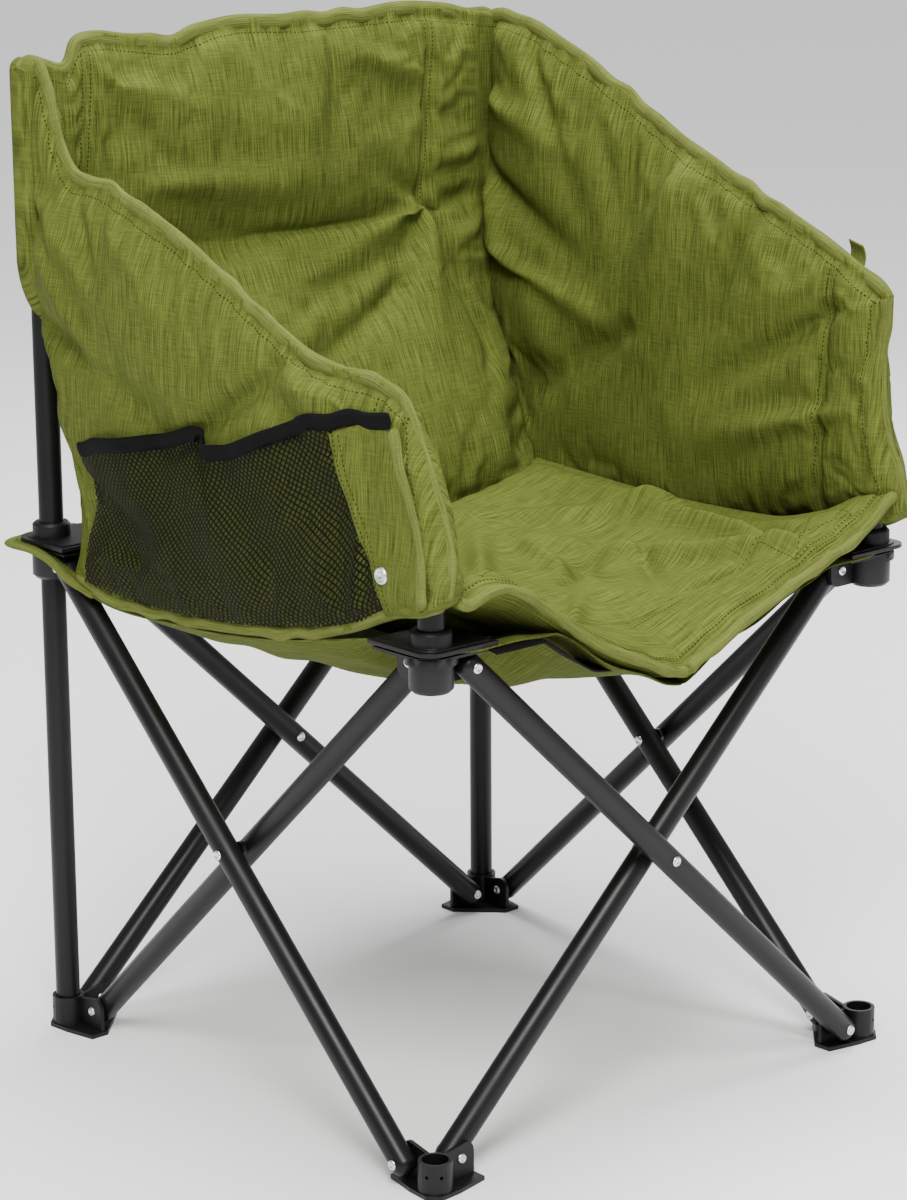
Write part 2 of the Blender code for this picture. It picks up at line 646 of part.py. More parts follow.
def make_walls():
    """Padded side walls, each with a blind sleeve for its arm post, and the snap that closes the sleeve."""
    for name, side, top in (("left", -1, LEFT_WALL_TOP), ("right", 1, RIGHT_WALL_TOP)):
        faces = sorted((side * WALL_INNER, side * WALL_OUTER))
        wall = plate(f"wall_{name}_slab", wall_outline(top), *faces, "YZ")
        sleeve = cylinder(f"wall_{name}_sleeve", BORE_RADIUS, BELOW_TUB, ARM_POST_TOP + GAP)
        sleeve.data.transform(Matrix.Translation((side * POST, -POST, 0)))
        cut(wall, sleeve)
        add_part(f"wall_{name}", evaluated_mesh(wall), "olive_cloth")
        snap = cylinder(f"snap_{name}_pattern", SNAP_RADIUS, 0, SNAP_HEIGHT, SNAP_SIDES,
                        SNAP_RADIUS * SNAP_FACE_SHARE)
        place = Matrix.Translation((side * (WALL_OUTER + GAP), *on_wall([SNAP_PLACE])[0]))
        snap.data.transform(place @ Matrix.Rotation(math.radians(90 * side), 4, "Y"))
        add_part(f"snap_{name}", snap.data, "zinc")


def make_back():
    """The padded back: sleeves over the rear posts above, and a narrower part that leans in to the seat."""
    front = POST - BACK_THICKNESS / 2
    rear = POST + BACK_THICKNESS / 2
    side = POST + BACK_OVERHANG
    sleeve_bottom = HUB_TOP + BACK_SLEEVE_RISE
    head = plate("back_head", (
        (-side, sleeve_bottom), (side, sleeve_bottom), (side, BACK_TOP - BACK_CORNER),
        (side - BACK_CORNER, BACK_TOP), (BACK_CORNER - side, BACK_TOP), (-side, BACK_TOP - BACK_CORNER),
    ), front, rear, "XZ")
    foot_front = PAD_REAR + WALL_SEAT_GAP
    foot = HUB_TOP + BACK_FOOT_RISE
    seam = HUB_TOP + BACK_SEAM_RISE
    lower = plate("back_lower", (
        (foot_front, foot), (foot_front + BACK_THICKNESS, foot), (rear - JOIN, seam), (front + JOIN, seam),
    ), -PAD_SIDE, PAD_SIDE, "YZ")
    union(head, lower)
    for name, across in (("left", -POST), ("right", POST)):
        sleeve = cylinder(f"back_sleeve_{name}", BORE_RADIUS, BELOW_TUB, REAR_POST_TOP + GAP)
        sleeve.data.transform(Matrix.Translation((across, POST, 0)))
        cut(head, sleeve)
    add_part("back_panel", evaluated_mesh(head), "olive_cloth")


def make_pocket():
    """The mesh pocket on the left wall: a bellows tray open at the top and towards the wall."""
    inner = -WALL_OUTER - GAP
    outer = inner - POCKET_DEPTH
    outline = on_wall(POCKET_OUTLINE)
    tray = plate("pocket_tray", outline, outer, inner, "YZ")
    middle = sum(point[0] for point in outline) / len(outline)
    lifts = [TUBE_RADIUS] * POCKET_MOUTH_POINTS + [POCKET_SHEET] * (len(outline) - POCKET_MOUTH_POINTS)
    hollow_outline = [
        (y - math.copysign(POCKET_SHEET, y - middle), z + lift) for (y, z), lift in zip(outline, lifts)]
    hollow = plate("pocket_hollow", hollow_outline, outer + POCKET_SHEET, inner + TUBE_RADIUS, "YZ")
    cut(tray, hollow)
    add_part("mesh_pocket", evaluated_mesh(tray), "black_mesh")


def make_strap():
    """Webbing under the sling's front edge, from the front left hub to the front right one."""
    across = [FLAT_FROM - 2 * FLAT_FROM * i / STRAP_STEPS for i in range(STRAP_STEPS + 1)]
    front = STRAP_INSET - SLING_HALF
    drop = SLING_THICKNESS / 2 + STRAP_DROP + STRAP_THICKNESS
    item = sheet("front_strap_sheet", lambda y: across, [front, front + STRAP_WIDTH],
                 lambda x, y: sling_height(x, y) - drop, STRAP_THICKNESS, 1)
    add_part("front_strap", item.data, "black_mesh")


def pivot_point(side, end, height):
    """A pivot's centre: end -1 is the side's first corner, 1 its second, and 0 the crossing of its bars."""
    return quarter_turn(SIDES.index(side)) @ side_point(end * REACH, 0, height)


def carried_nodes(body):
    """The solids that move with a body: its own, its rivets, and the soft pieces fixed to it."""
    kind, _, place = body.partition("_")
    if kind == "bar":
        side = place.partition("_")[0]
        middle = (f"bush_{side}", f"rivet_{side}_middle") if place.endswith("inner") else ()
        return (body, *middle)
    if kind == "seat":
        return (f"sling_{place}", f"seat_pad_{place}")
    corner = CORNERS.index(place)
    first, second = SIDES[corner], SIDES[corner - 1]
    if kind == "foot":
        return (body, f"rivet_{first}_inner_bottom", f"rivet_{second}_outer_bottom")
    return (body, f"hub_cap_{place}", f"rivet_{first}_outer_top", f"rivet_{second}_inner_top")


def make_bodies():
    """An empty on each joint's axis, with the solids that turn about it. The rear left foot is the root."""
    feet, hubs, crossing = FOOT_PIVOT_HEIGHT, HUB_PIVOT_HEIGHT, MIDDLE_HEIGHT
    hinge = POST - SEAT_HINGE_INSET
    places = {
        "foot_rear_left": Vector((-POST, POST, 0)),
        "bar_left_inner": pivot_point("left", -1, feet),
        "bar_left_outer": pivot_point("left", 0, crossing),
        "hub_rear_left": pivot_point("left", -1, hubs),
        "foot_front_left": pivot_point("left", 1, feet),
        "hub_front_left": pivot_point("left", 1, hubs),
        "bar_front_inner": pivot_point("front", -1, feet),
        "bar_front_outer": pivot_point("front", 0, crossing),
        "foot_front_right": pivot_point("front", 1, feet),
        "hub_front_right": pivot_point("front", 1, hubs),
        "bar_rear_outer": pivot_point("rear", 1, feet),
        "bar_rear_inner": pivot_point("rear", 0, crossing),
        "hub_rear_right": pivot_point("rear", -1, hubs),
        "foot_rear_right": pivot_point("rear", -1, feet),
        "bar_right_outer": pivot_point("right", 1, feet),
        "bar_right_inner": pivot_point("right", 0, crossing),
        "seat_left": Vector((-hinge, 0, SLING_CORNER_Z)),
        "seat_right": Vector((hinge, 0, SLING_CORNER_Z)),
    }
    fixed_to = {
        "foot_rear_left": ("post_rear_left", "back_panel"),
        "foot_rear_right": ("post_rear_right",),
        "hub_front_left": ("arm_post_left", "wall_left", "snap_left", "mesh_pocket", "front_strap"),
        "hub_front_right": ("arm_post_right", "wall_right", "snap_right"),
    }
    for body, place in places.items():
        empty = bpy.data.objects.new(f"body_{body}", None)
        empty.location = place
        PARTS.objects.link(empty)
        for name in (*carried_nodes(body), *fixed_to.get(body, ())):
            item = PARTS.objects[name]
            item.parent = empty
            item.matrix_parent_inverse = Matrix.Translation(-place)


clear_scene()
PARTS = new_collection("folding_camp_chair")
HELPERS = new_collection("cutters", helper=True)
make_feet()
make_hubs()
make_caps()
make_posts()
make_scissors()
make_sling()
make_seat_pad()
make_walls()
make_back()
make_pocket()
make_strap()
make_bodies()
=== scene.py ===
"""Visual model of a folding camp chair with a padded tub seat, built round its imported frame.

Metres, +Z up, the chair faces -Y and its left is -X. Every mesh holds its own place, so each object sits at
the origin.
"""

import json
import math

import bmesh
import bpy
import numpy as np
from mathutils import Matrix, Vector
from mathutils.bvhtree import BVHTree


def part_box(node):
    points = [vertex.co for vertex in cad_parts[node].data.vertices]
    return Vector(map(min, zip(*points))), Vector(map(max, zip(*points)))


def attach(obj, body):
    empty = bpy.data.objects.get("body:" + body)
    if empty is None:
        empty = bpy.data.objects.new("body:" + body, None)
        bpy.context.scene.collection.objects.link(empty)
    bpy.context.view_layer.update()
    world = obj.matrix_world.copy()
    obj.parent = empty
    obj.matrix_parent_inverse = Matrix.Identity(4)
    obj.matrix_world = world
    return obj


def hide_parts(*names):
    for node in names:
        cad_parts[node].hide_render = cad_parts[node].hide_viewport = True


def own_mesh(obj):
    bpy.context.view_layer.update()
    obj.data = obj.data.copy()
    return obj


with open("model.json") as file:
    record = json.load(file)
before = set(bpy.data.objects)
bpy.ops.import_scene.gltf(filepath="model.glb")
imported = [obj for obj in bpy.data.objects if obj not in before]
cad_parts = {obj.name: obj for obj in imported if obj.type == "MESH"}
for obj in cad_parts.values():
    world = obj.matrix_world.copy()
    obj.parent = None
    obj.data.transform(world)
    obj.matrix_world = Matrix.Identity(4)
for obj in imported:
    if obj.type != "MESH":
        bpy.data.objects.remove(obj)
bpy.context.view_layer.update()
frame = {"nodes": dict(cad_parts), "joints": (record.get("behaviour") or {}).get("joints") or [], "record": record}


# ---- Studio ----
# A pale sweep of floor under broad soft lamps, with the view from the chair's front left, a little above
# the seat. The lamps are large so that the cloth's folds shade softly and the black tubes show long glints.
# The floor glows a little more with distance, so that it stays pale where the lamps fall off.

AZIMUTH, TILT, ROLL = math.radians(-41.502), math.radians(14.330), math.radians(-0.355)
EYE = Vector((-1.7956, -2.0234, 1.0612))
FLOOR_REACH = 30.0


def aimed(azimuth, tilt, roll):
    """Rotation of a camera that looks in from an azimuth round the chair, tilted down, then rolled."""
    back = Vector((math.sin(azimuth) * math.cos(tilt), -math.cos(azimuth) * math.cos(tilt), math.sin(tilt)))
    across = (-back).cross(Vector((0, 0, 1))).normalized()
    upward = across.cross(-back)
    right = math.cos(roll) * across + math.sin(roll) * upward
    up = math.cos(roll) * upward - math.sin(roll) * across
    return Matrix((right, up, back)).transposed()


lens = bpy.data.cameras.new("view")
lens.lens, lens.sensor_width = 103.694, 36.0
camera = bpy.data.objects.new("view", lens)
camera.matrix_world = Matrix.Translation(EYE) @ aimed(AZIMUTH, TILT, ROLL).to_4x4()
bpy.context.scene.collection.objects.link(camera)
bpy.context.scene.camera = camera


def lamp(name, place, aim, size, watts, colour=(1.0, 1.0, 1.0)):
    """A square soft lamp at a place, facing a point."""
    light = bpy.data.lights.new(name, "AREA")
    light.size, light.energy, light.color = size, watts, colour
    item = bpy.data.objects.new(name, light)
    item.location = place
    item.rotation_euler = (Vector(aim) - Vector(place)).to_track_quat("-Z", "Y").to_euler()
    bpy.context.scene.collection.objects.link(item)


lamp("key", (-1.5, -1.5, 2.6), (0, 0, 0.45), 1.2, 128, (1.0, 0.99, 0.97))
lamp("front", (1.0, -2.9, 1.3), (0, 0, 0.5), 1.8, 9)
lamp("top", (0.3, 0.1, 2.9), (0, 0, 0.5), 1.6, 122)
lamp("rim", (2.2, 1.6, 1.5), (0, 0, 0.5), 1.2, 14)

world = bpy.data.worlds.new("studio")
world.use_nodes = True
world.node_tree.nodes["Background"].inputs["Color"].default_value = (0.98, 0.985, 1.0, 1)
world.node_tree.nodes["Background"].inputs["Strength"].default_value = 0.55
bpy.context.scene.world = world


def nodes_for(name):
    """A new material with its node tree, its Principled shader and a maker of nodes."""
    made = bpy.data.materials.new(name)
    made.use_nodes = True
    tree = made.node_tree
    return made, tree, tree.nodes["Principled BSDF"]


def node(tree, kind, settings=None, **inputs):
    """A shader node with its settings and input values; a socket given as a value is linked."""
    made = tree.nodes.new("ShaderNode" + kind)
    for key, value in (settings or {}).items():
        setattr(made, key, value)
    for key, value in inputs.items():
        socket = made.inputs[int(key[1:]) if key[0] == "_" else key]
        if isinstance(value, bpy.types.NodeSocket):
            tree.links.new(value, socket)
        else:
            socket.default_value = value
    return made


def spread(tree, value, low, high, start=0.0, end=1.0):
    """A value's range from start to end, spread evenly over low to high."""
    return node(tree, "MapRange", Value=value, **{"From Min": start, "From Max": end,
                                                  "To Min": low, "To Max": high}).outputs[0]


floor_paint, tree, shader = nodes_for("pale_floor")
shader.inputs["Base Color"].default_value = (0.93, 0.93, 0.93, 1)
shader.inputs["Roughness"].default_value = 0.85
reach = node(tree, "VectorMath", {"operation": "LENGTH"}, _0=node(tree, "TexCoord").outputs["Object"])
glow = spread(tree, reach.outputs["Value"], 0.05, 0.38, 0.6, 2.4)
tree.links.new(glow, shader.inputs["Emission Strength"])
shader.inputs["Emission Color"].default_value = (1, 1, 1, 1)
floor_mesh = bpy.data.meshes.new("floor")
corners = [(x * FLOOR_REACH, y * FLOOR_REACH, 0) for x, y in ((-1, -1), (1, -1), (1, 1), (-1, 1))]
floor_mesh.from_pydata(corners, [], [(0, 1, 2, 3)])
floor_mesh.materials.append(floor_paint)
floor = bpy.data.objects.new("floor", floor_mesh)
bpy.context.scene.collection.objects.link(floor)


# ---- Scissor bars and posts ----
# Round steel tube with a satin black powder coat. The bars have closed domed ends; the posts are open at
# the top and hidden by their sleeves. Powder coat has a faint orange peel and lies a little glossier where
# hands rub it.


def hard_finish(name, patches, tones, rough, patch_range=(0.0, 1.0), grain=None):
    """Colour and roughness that both follow one soft noise, given as its scale and detail, over a fine grain
    of relief, given as its scale, detail and strength."""
    made, tree, shader = nodes_for(name)
    place = node(tree, "TexCoord").outputs["Object"]
    cloud = node(tree, "TexNoise", Vector=place, Scale=patches[0], Detail=patches[1]).outputs["Fac"]
    tint = node(tree, "MixRGB", _0=cloud, _1=(*tones[0], 1), _2=(*tones[1], 1))
    tree.links.new(tint.outputs[0], shader.inputs["Base Color"])
    tree.links.new(spread(tree, cloud, *rough, *patch_range), shader.inputs["Roughness"])
    if grain:
        fine = node(tree, "TexNoise", Vector=place, Scale=grain[0], Detail=grain[1])
        bump = node(tree, "Bump", Height=fine.outputs["Fac"], Strength=grain[2], Distance=0.0002)
        tree.links.new(bump.outputs[0], shader.inputs["Normal"])
    return made, shader


def build(name, vertices, faces, paint, uv=None):
    """A smooth mesh object from arrays of points and faces, with a UV in metres for each point."""
    mesh = bpy.data.meshes.new(name)
    mesh.from_pydata(vertices.reshape(-1, 3).tolist(), [], faces.tolist())
    mesh.materials.append(paint)
    mesh.shade_smooth()
    item = bpy.data.objects.new(name, mesh)
    bpy.context.scene.collection.objects.link(item)
    if uv is not None:
        corners = np.empty(len(mesh.loops), np.int32)
        mesh.loops.foreach_get("vertex_index", corners)
        layer = mesh.uv_layers.new(name="UVMap")
        layer.data.foreach_set("uv", uv.reshape(-1, 2)[corners].astype(np.float32).ravel())
    return item


def face_out(item, weld=False):
    """Turns a closed mesh's faces outwards, after points that share a place are merged."""
    work = bmesh.new()
    work.from_mesh(item.data)
    if weld:
        bmesh.ops.remove_doubles(work, verts=work.verts, dist=1e-6)
    bmesh.ops.recalc_face_normals(work, faces=work.faces)
    work.to_mesh(item.data)
    work.free()
    return item


def grid_faces(index):
    """Quads over a grid of point numbers."""
    return np.stack([index[:-1, :-1], index[1:, :-1], index[1:, 1:], index[:-1, 1:]], -1).reshape(-1, 4)


def ring_faces(rings, sides):
    """Quads round a stack of closed rings, numbered ring after ring."""
    index = np.arange(rings * sides).reshape(rings, sides)
    return grid_faces(np.concatenate([index, index[:, :1]], 1))


def turned(name, profile, start, end, paint, sides=48):
    """Radius r and distance d from start, turned about the line from start to end: the point is
    start + d * axis + r * (cos a, sin a) in the plane across the axis. Rings of radius 0 close the ends."""
    start, end = np.array(start, float), np.array(end, float)
    axis = (end - start) / np.linalg.norm(end - start)
    side = np.cross(axis, (0.3, 0.2, 0.93))
    side /= np.linalg.norm(side)
    other = np.cross(axis, side)
    angle = np.linspace(0, 2 * math.pi, sides, endpoint=False)
    ring = np.cos(angle)[:, None] * side + np.sin(angle)[:, None] * other
    radius, along = np.array(profile, float).T
    points = start + along[:, None, None] * axis + radius[:, None, None] * ring
    item = face_out(build(name, points, ring_faces(len(radius), sides), paint), weld=True)
    item.data.set_sharp_from_angle(angle=math.radians(40))
    return item


body_of = {name: body for body, names in frame["record"]["behaviour"]["bodies"].items() for name in names}


def stands_for(item, name):
    """A made piece takes the place of the frame's piece, with its finish, and rides on its body."""
    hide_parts(name)
    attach(item, body_of[name])


COAT_TONES = ((0.003, 0.003, 0.0033), (0.007, 0.007, 0.0073))
steel, shader = hard_finish("black_powder_coat", (14.0, 4.0), COAT_TONES, (0.33, 0.46), (0.35, 0.7),
                            (900.0, 2.0, 0.12))
shader.inputs["Specular IOR Level"].default_value = 0.24
joint_at = {joint["name"]: np.array(joint["pos_m"]) for joint in frame["joints"]}
hub_pivot, foot_pivot = joint_at["left_front_hub_pivot"], joint_at["left_fold"]
run, rise = abs(foot_pivot[1] - hub_pivot[1]), hub_pivot[2] - foot_pivot[2]
DOME_LENGTH = 0.008

for side, outward in (("front", (0, -1)), ("right", (1, 0)), ("rear", (0, 1)), ("left", (-1, 0))):
    along = np.array((-outward[1], outward[0], 0.0))
    for kind, sign in (("outer", -1), ("inner", 1)):
        name = f"bar_{side}_{kind}"
        low, high = (np.array(corner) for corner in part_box(name))
        thickness = (high - low)[0 if outward[0] else 1]
        radius, middle = thickness / 2, (low + high) / 2
        line = along * run * sign + np.array((0, 0, rise))
        length = np.linalg.norm(line)
        half = line / length * (length / 2 + radius + 0.001)
        total = 2 * np.linalg.norm(half)
        dome = np.radians(np.linspace(90, 0, 9))
        rings = [(radius * math.cos(a), DOME_LENGTH * (1 - math.sin(a))) for a in dome]
        profile = rings + [(r, total - d) for r, d in reversed(rings)]
        profile[0], profile[-1] = (0.0, 0.0), (0.0, total)
        bar = turned(f"tube_{side}_{kind}", profile, middle - half, middle + half, steel)
        stands_for(bar, name)

for name in ("post_rear_left", "post_rear_right", "arm_post_left", "arm_post_right"):
    low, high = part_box(name)
    radius, wall = (high.x - low.x) / 2, 0.0012
    tall = high.z - low.z
    profile = [(radius - wall, 0), (radius, 0), (radius, tall - 0.001), (radius - 0.0004, tall),
               (radius - wall, tall), (radius - wall, 0)]
    centre = (low + high) / 2
    post = turned(f"{name}_tube", profile, (centre.x, centre.y, low.z), (centre.x, centre.y, high.z), steel)
    stands_for(post, name)


# ---- Rivets and bushes ----
# Zinc plated tubular rivets: a domed head with a dished centre at each end, on a shank that shows only in
# the gap between bar and ear. The bushes are plain black washers.

ZINC_TONES = ((0.55, 0.56, 0.57), (0.80, 0.82, 0.83))
zinc, shader = hard_finish("zinc_plate", (420.0, 3.0), ZINC_TONES, (0.20, 0.42))
shader.inputs["Metallic"].default_value = 1.0
for name in sorted(name for name in frame["nodes"] if name.startswith("rivet_")):
    low, high = (np.array(corner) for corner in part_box(name))
    axis = 0 if name.split("_")[1] in ("left", "right") else 1
    start, end = (low + high) / 2, (low + high) / 2
    start[axis], end[axis] = low[axis], high[axis]
    span, head, cap = high[axis] - low[axis], (high - low)[2] / 2, 0.0016
    shank = head * 0.58
    bulge = [(0.0, 0.0009), (0.0013, 0.0008), (0.0019, 0.0002), (0.0024, 0.0), (0.0031, 0.0002),
             (0.0038, 0.0007), (head, 0.0013), (head, cap), (shank, cap)]
    profile = bulge + [(r, span - d) for r, d in reversed(bulge)]
    rivet = turned(f"{name}_turned", profile, start, end, zinc, sides=32)
    stands_for(rivet, name)


# ---- Feet, hubs and hub caps ----
# Moulded black nylon with a fine spark texture, softly rounded on every edge. The cap has a raised border
# and a curved rib outside its collar. They keep their CAD solids' shape, with the edges rounded.


def rounded_copy(name, paint, width):
    """A merged copy of the frame's solid with its edges rounded to a width."""
    mesh = frame["nodes"][name].data.copy()
    work = bmesh.new()
    work.from_mesh(mesh)
    bmesh.ops.remove_doubles(work, verts=work.verts, dist=2e-5)
    bmesh.ops.dissolve_limit(work, angle_limit=math.radians(1.0), verts=work.verts, edges=work.edges)
    work.to_mesh(mesh)
    work.free()
    mesh.materials.clear()
    mesh.materials.append(paint)
    mesh.shade_smooth()
    mesh.set_sharp_from_angle(angle=math.radians(35))
    item = bpy.data.objects.new(f"{name}_moulding", mesh)
    bpy.context.scene.collection.objects.link(item)
    bevel = item.modifiers.new("rounding", "BEVEL")
    bevel.width, bevel.segments, bevel.limit_method = width, 2, "ANGLE"
    bevel.angle_limit = math.radians(40)
    bevel.harden_normals = True
    stands_for(item, name)


NYLON_TONES = ((0.002, 0.002, 0.0022), (0.0055, 0.0055, 0.006))
nylon, shader = hard_finish("moulded_nylon", (40.0, 3.0), NYLON_TONES, (0.36, 0.52), grain=(1500.0, 3.0, 0.25))
shader.inputs["Specular IOR Level"].default_value = 0.28
for corner in ("front_left", "front_right", "rear_right", "rear_left"):
    for kind, width in (("foot", 0.0006), ("hub", 0.0005), ("hub_cap", 0.0006)):
        rounded_copy(f"{kind}_{corner}", nylon, width)
for side in ("front", "right", "rear", "left"):
    frame["nodes"][f"bush_{side}"].data.materials.clear()
    frame["nodes"][f"bush_{side}"].data.materials.append(nylon)


# ---- Padded side walls ----
# Two layers of heavy melange cloth over wadding, sewn together round the edge. Each stands on its arm post
# in a sleeve at the front, closed by a double stitched seam, and is sewn to the back at its rear edge. The
# left wall dips lower at the front and its top edge climbs in a fold to the back's corner.

CLOTH_LIGHT, CLOTH_DARK = (0.126, 0.153, 0.028, 1), (0.029, 0.039, 0.005, 1)


def maths(tree, operation, first, second):
    """One sum of two values or sockets."""
    return node(tree, "Math", {"operation": operation}, _0=first, _1=second).outputs[0]


def weave_group():
    """Melange cloth: slub streaks along the warp (UV's V), finer flecks, a plain weave's relief."""
    group = bpy.data.node_groups.new("melange_weave", "ShaderNodeTree")
    for name, kind, value in (("Light", "Color", CLOTH_LIGHT), ("Dark", "Color", CLOTH_DARK),
                              ("Streak", "Float", 1.0), ("Relief", "Float", 1.0)):
        socket = group.interface.new_socket(name=name, in_out="INPUT", socket_type="NodeSocket" + kind)
        socket.default_value = value
    for name, kind in (("Color", "Color"), ("Roughness", "Float"), ("Normal", "Vector")):
        group.interface.new_socket(name=name, in_out="OUTPUT", socket_type="NodeSocket" + kind)
    given, out = group.nodes.new("NodeGroupInput"), group.nodes.new("NodeGroupOutput")
    cloth = node(group, "UVMap", {"uv_map": "UVMap"}).outputs["UV"]

    def weighted(parts):
        """The sum of values, each times its weight."""
        total = maths(group, "MULTIPLY", *parts[0])
        for part in parts[1:]:
            total = maths(group, "ADD", total, maths(group, "MULTIPLY", *part))
        return total

    def streaks(across, along, detail):
        """Noise drawn out to marks of a width across the warp and a length along it."""
        scaled = node(group, "Mapping", Vector=cloth, Scale=(1 / across, 1 / along, 1))
        return node(group, "TexNoise", {"noise_dimensions": "2D"}, Vector=scaled.outputs[0], Scale=1.0,
                    Detail=detail, Roughness=0.6).outputs["Fac"]

    fine = streaks(0.0008, 0.030, 2.0)
    broad = streaks(0.0018, 0.080, 2.0)
    weft = streaks(0.020, 0.0009, 1.0)
    cloud = streaks(0.11, 0.16, 3.0)
    tone = weighted([(fine, 0.62), (broad, 0.22), (weft, 0.20), (cloud, 0.12)])
    tone = spread(group, tone, 0.0, 1.0, 0.38, 0.78)
    eased = maths(group, "MULTIPLY", maths(group, "SUBTRACT", tone, 0.5), given.outputs["Streak"])
    share = maths(group, "ADD", eased, 0.5)
    mixed = node(group, "MixRGB", _0=share, _1=given.outputs["Dark"], _2=given.outputs["Light"])
    pitch = 0.0011
    ribs = node(group, "TexWave", {"wave_type": "BANDS", "bands_direction": "X"}, Vector=cloth,
                Scale=0.314 / pitch, Distortion=0.6)
    height = weighted([(ribs.outputs["Fac"], 0.35), (fine, 0.9), (weft, 0.6)])
    bump = node(group, "Bump", Height=height, Strength=given.outputs["Relief"], Distance=0.0004)
    group.links.new(mixed.outputs[0], out.inputs["Color"])
    group.links.new(spread(group, fine, 0.78, 0.95), out.inputs["Roughness"])
    group.links.new(bump.outputs[0], out.inputs["Normal"])
    return group


melange = weave_group()


def cloth_paint(name, light, dark, streak=1.0, relief=0.6):
    """A cloth material from the weave group with its own colours."""
    made, tree, shader = nodes_for(name)
    weave = tree.nodes.new("ShaderNodeGroup")
    weave.node_tree = melange
    weave.inputs["Light"].default_value, weave.inputs["Dark"].default_value = light, dark
    weave.inputs["Streak"].default_value, weave.inputs["Relief"].default_value = streak, relief
    for output, socket in (("Color", "Base Color"), ("Roughness", "Roughness"), ("Normal", "Normal")):
        tree.links.new(weave.outputs[output], shader.inputs[socket])
    shader.inputs["Specular IOR Level"].default_value = 0.08
    return made


cloth = cloth_paint("olive_melange", CLOTH_LIGHT, CLOTH_DARK)
tape = cloth_paint("olive_tape", (0.148, 0.170, 0.042, 1), (0.062, 0.076, 0.014, 1), 0.9, 0.9)
# The thread's near black olive is partly its own colour and partly painted shade of the stitched grooves.
thread_and_groove_shade = cloth_paint("olive_thread_and_groove_shade", (0.022, 0.028, 0.006, 1), (0.014, 0.018, 0.004, 1), 0.3, 0.2)


def through(points, count):
    """A smooth curve through points: cubic Hermite spans with central tangents over chord length."""
    points = np.array(points, float)
    steps = np.linalg.norm(np.diff(points, axis=0), axis=1)
    at = np.concatenate([[0], np.cumsum(steps)])
    slope = np.gradient(points, at, axis=0)
    want = np.linspace(0, at[-1], count)
    span = np.clip(np.searchsorted(at, want, side="right") - 1, 0, len(at) - 2)
    width = (at[span + 1] - at[span])[:, None]
    t = (want - at[span])[:, None] / width
    return (points[span] * (2 * t**3 - 3 * t**2 + 1) + slope[span] * width * (t**3 - 2 * t**2 + t)
            + points[span + 1] * (3 * t**2 - 2 * t**3) + slope[span + 1] * width * (t**3 - t**2))


def coons(bottom, top, first, last):
    """A patch between four edge curves: the two ruled surfaces less the bilinear one of the corners."""
    u = np.linspace(0, 1, len(bottom))[None, :, None]
    v = np.linspace(0, 1, len(first))[:, None, None]
    ruled = (1 - v) * bottom[None] + v * top[None] + (1 - u) * first[:, None] + u * last[:, None]
    corner = ((1 - u) * (1 - v) * bottom[0] + u * (1 - v) * bottom[-1]
              + (1 - u) * v * top[0] + u * v * top[-1])
    return ruled - corner


def lengths(points, axis):
    """Distance travelled along a grid's rows or columns."""
    steps = np.linalg.norm(np.diff(points, axis=axis), axis=2)
    zero = np.zeros_like(np.take(points[..., 0], [0], axis=axis))
    return np.concatenate([zero, np.cumsum(steps, axis=axis)], axis=axis)


def edge_distance(points):
    """Distance of each grid point to the nearest of the four edges, along the grid lines."""
    along, up = lengths(points, 1), lengths(points, 0)
    return np.minimum.reduce([along, along[:, -1:] - along, up, up[-1:] - up])


def crown(distance, width):
    """Nought at a seam, rising as a quarter ellipse to one at a given distance from it."""
    return np.sqrt(1 - (1 - np.clip(distance / width, 0, 1)) ** 2)


EDGE_HALF = 0.0030


def filled(gap, half, width=0.034, hem=0.0105):
    """Half thickness of a pad: thin under its edge tape, then a quarter ellipse up to half."""
    return EDGE_HALF + (half - EDGE_HALF) * crown(np.maximum(gap - hem, 0), width)


def step(share):
    """Smooth step from nought to one."""
    share = np.clip(share, 0, 1)
    return share * share * (3 - 2 * share)


def folds(a, b, table):
    """Sum of soft creases. Each is (a0, b0, a1, b1, half width, height): a bell across the line from
    (a0, b0) to (a1, b1) that starts full and fades to nothing towards its far end."""
    total = np.zeros_like(a)
    for a0, b0, a1, b1, width, height in table:
        da, db = a1 - a0, b1 - b0
        size = math.hypot(da, db)
        along = ((a - a0) * da + (b - b0) * db) / size**2
        across = ((a - a0) * db - (b - b0) * da) / size
        fade = np.clip(1.15 - along, 0, 1) * np.clip(1 + along * 6, 0, 1)
        total += height * np.exp(-((across / (width * (0.6 + 0.8 * np.clip(along, 0, 1)))) ** 2)) * fade
    return total


def shell(name, front, back, uv, paint):
    """A closed piece between two grids of points, joined all round their edges."""
    rows, columns = front.shape[:2]
    index = np.arange(rows * columns).reshape(rows, columns)
    rim = np.concatenate([index[0, :-1], index[:-1, -1], index[-1, :0:-1], index[:0:-1, 0]])
    after = np.roll(rim, -1)
    count = rows * columns
    sides = np.stack([rim, after, after + count, rim + count], -1)
    faces = np.concatenate([grid_faces(index), grid_faces(index)[:, ::-1] + count, sides])
    points = np.concatenate([front.reshape(-1, 3), back.reshape(-1, 3)])
    return face_out(build(name, points, faces, paint, np.concatenate([uv.reshape(-1, 2)] * 2)))


PUFF_FRAMES = 18


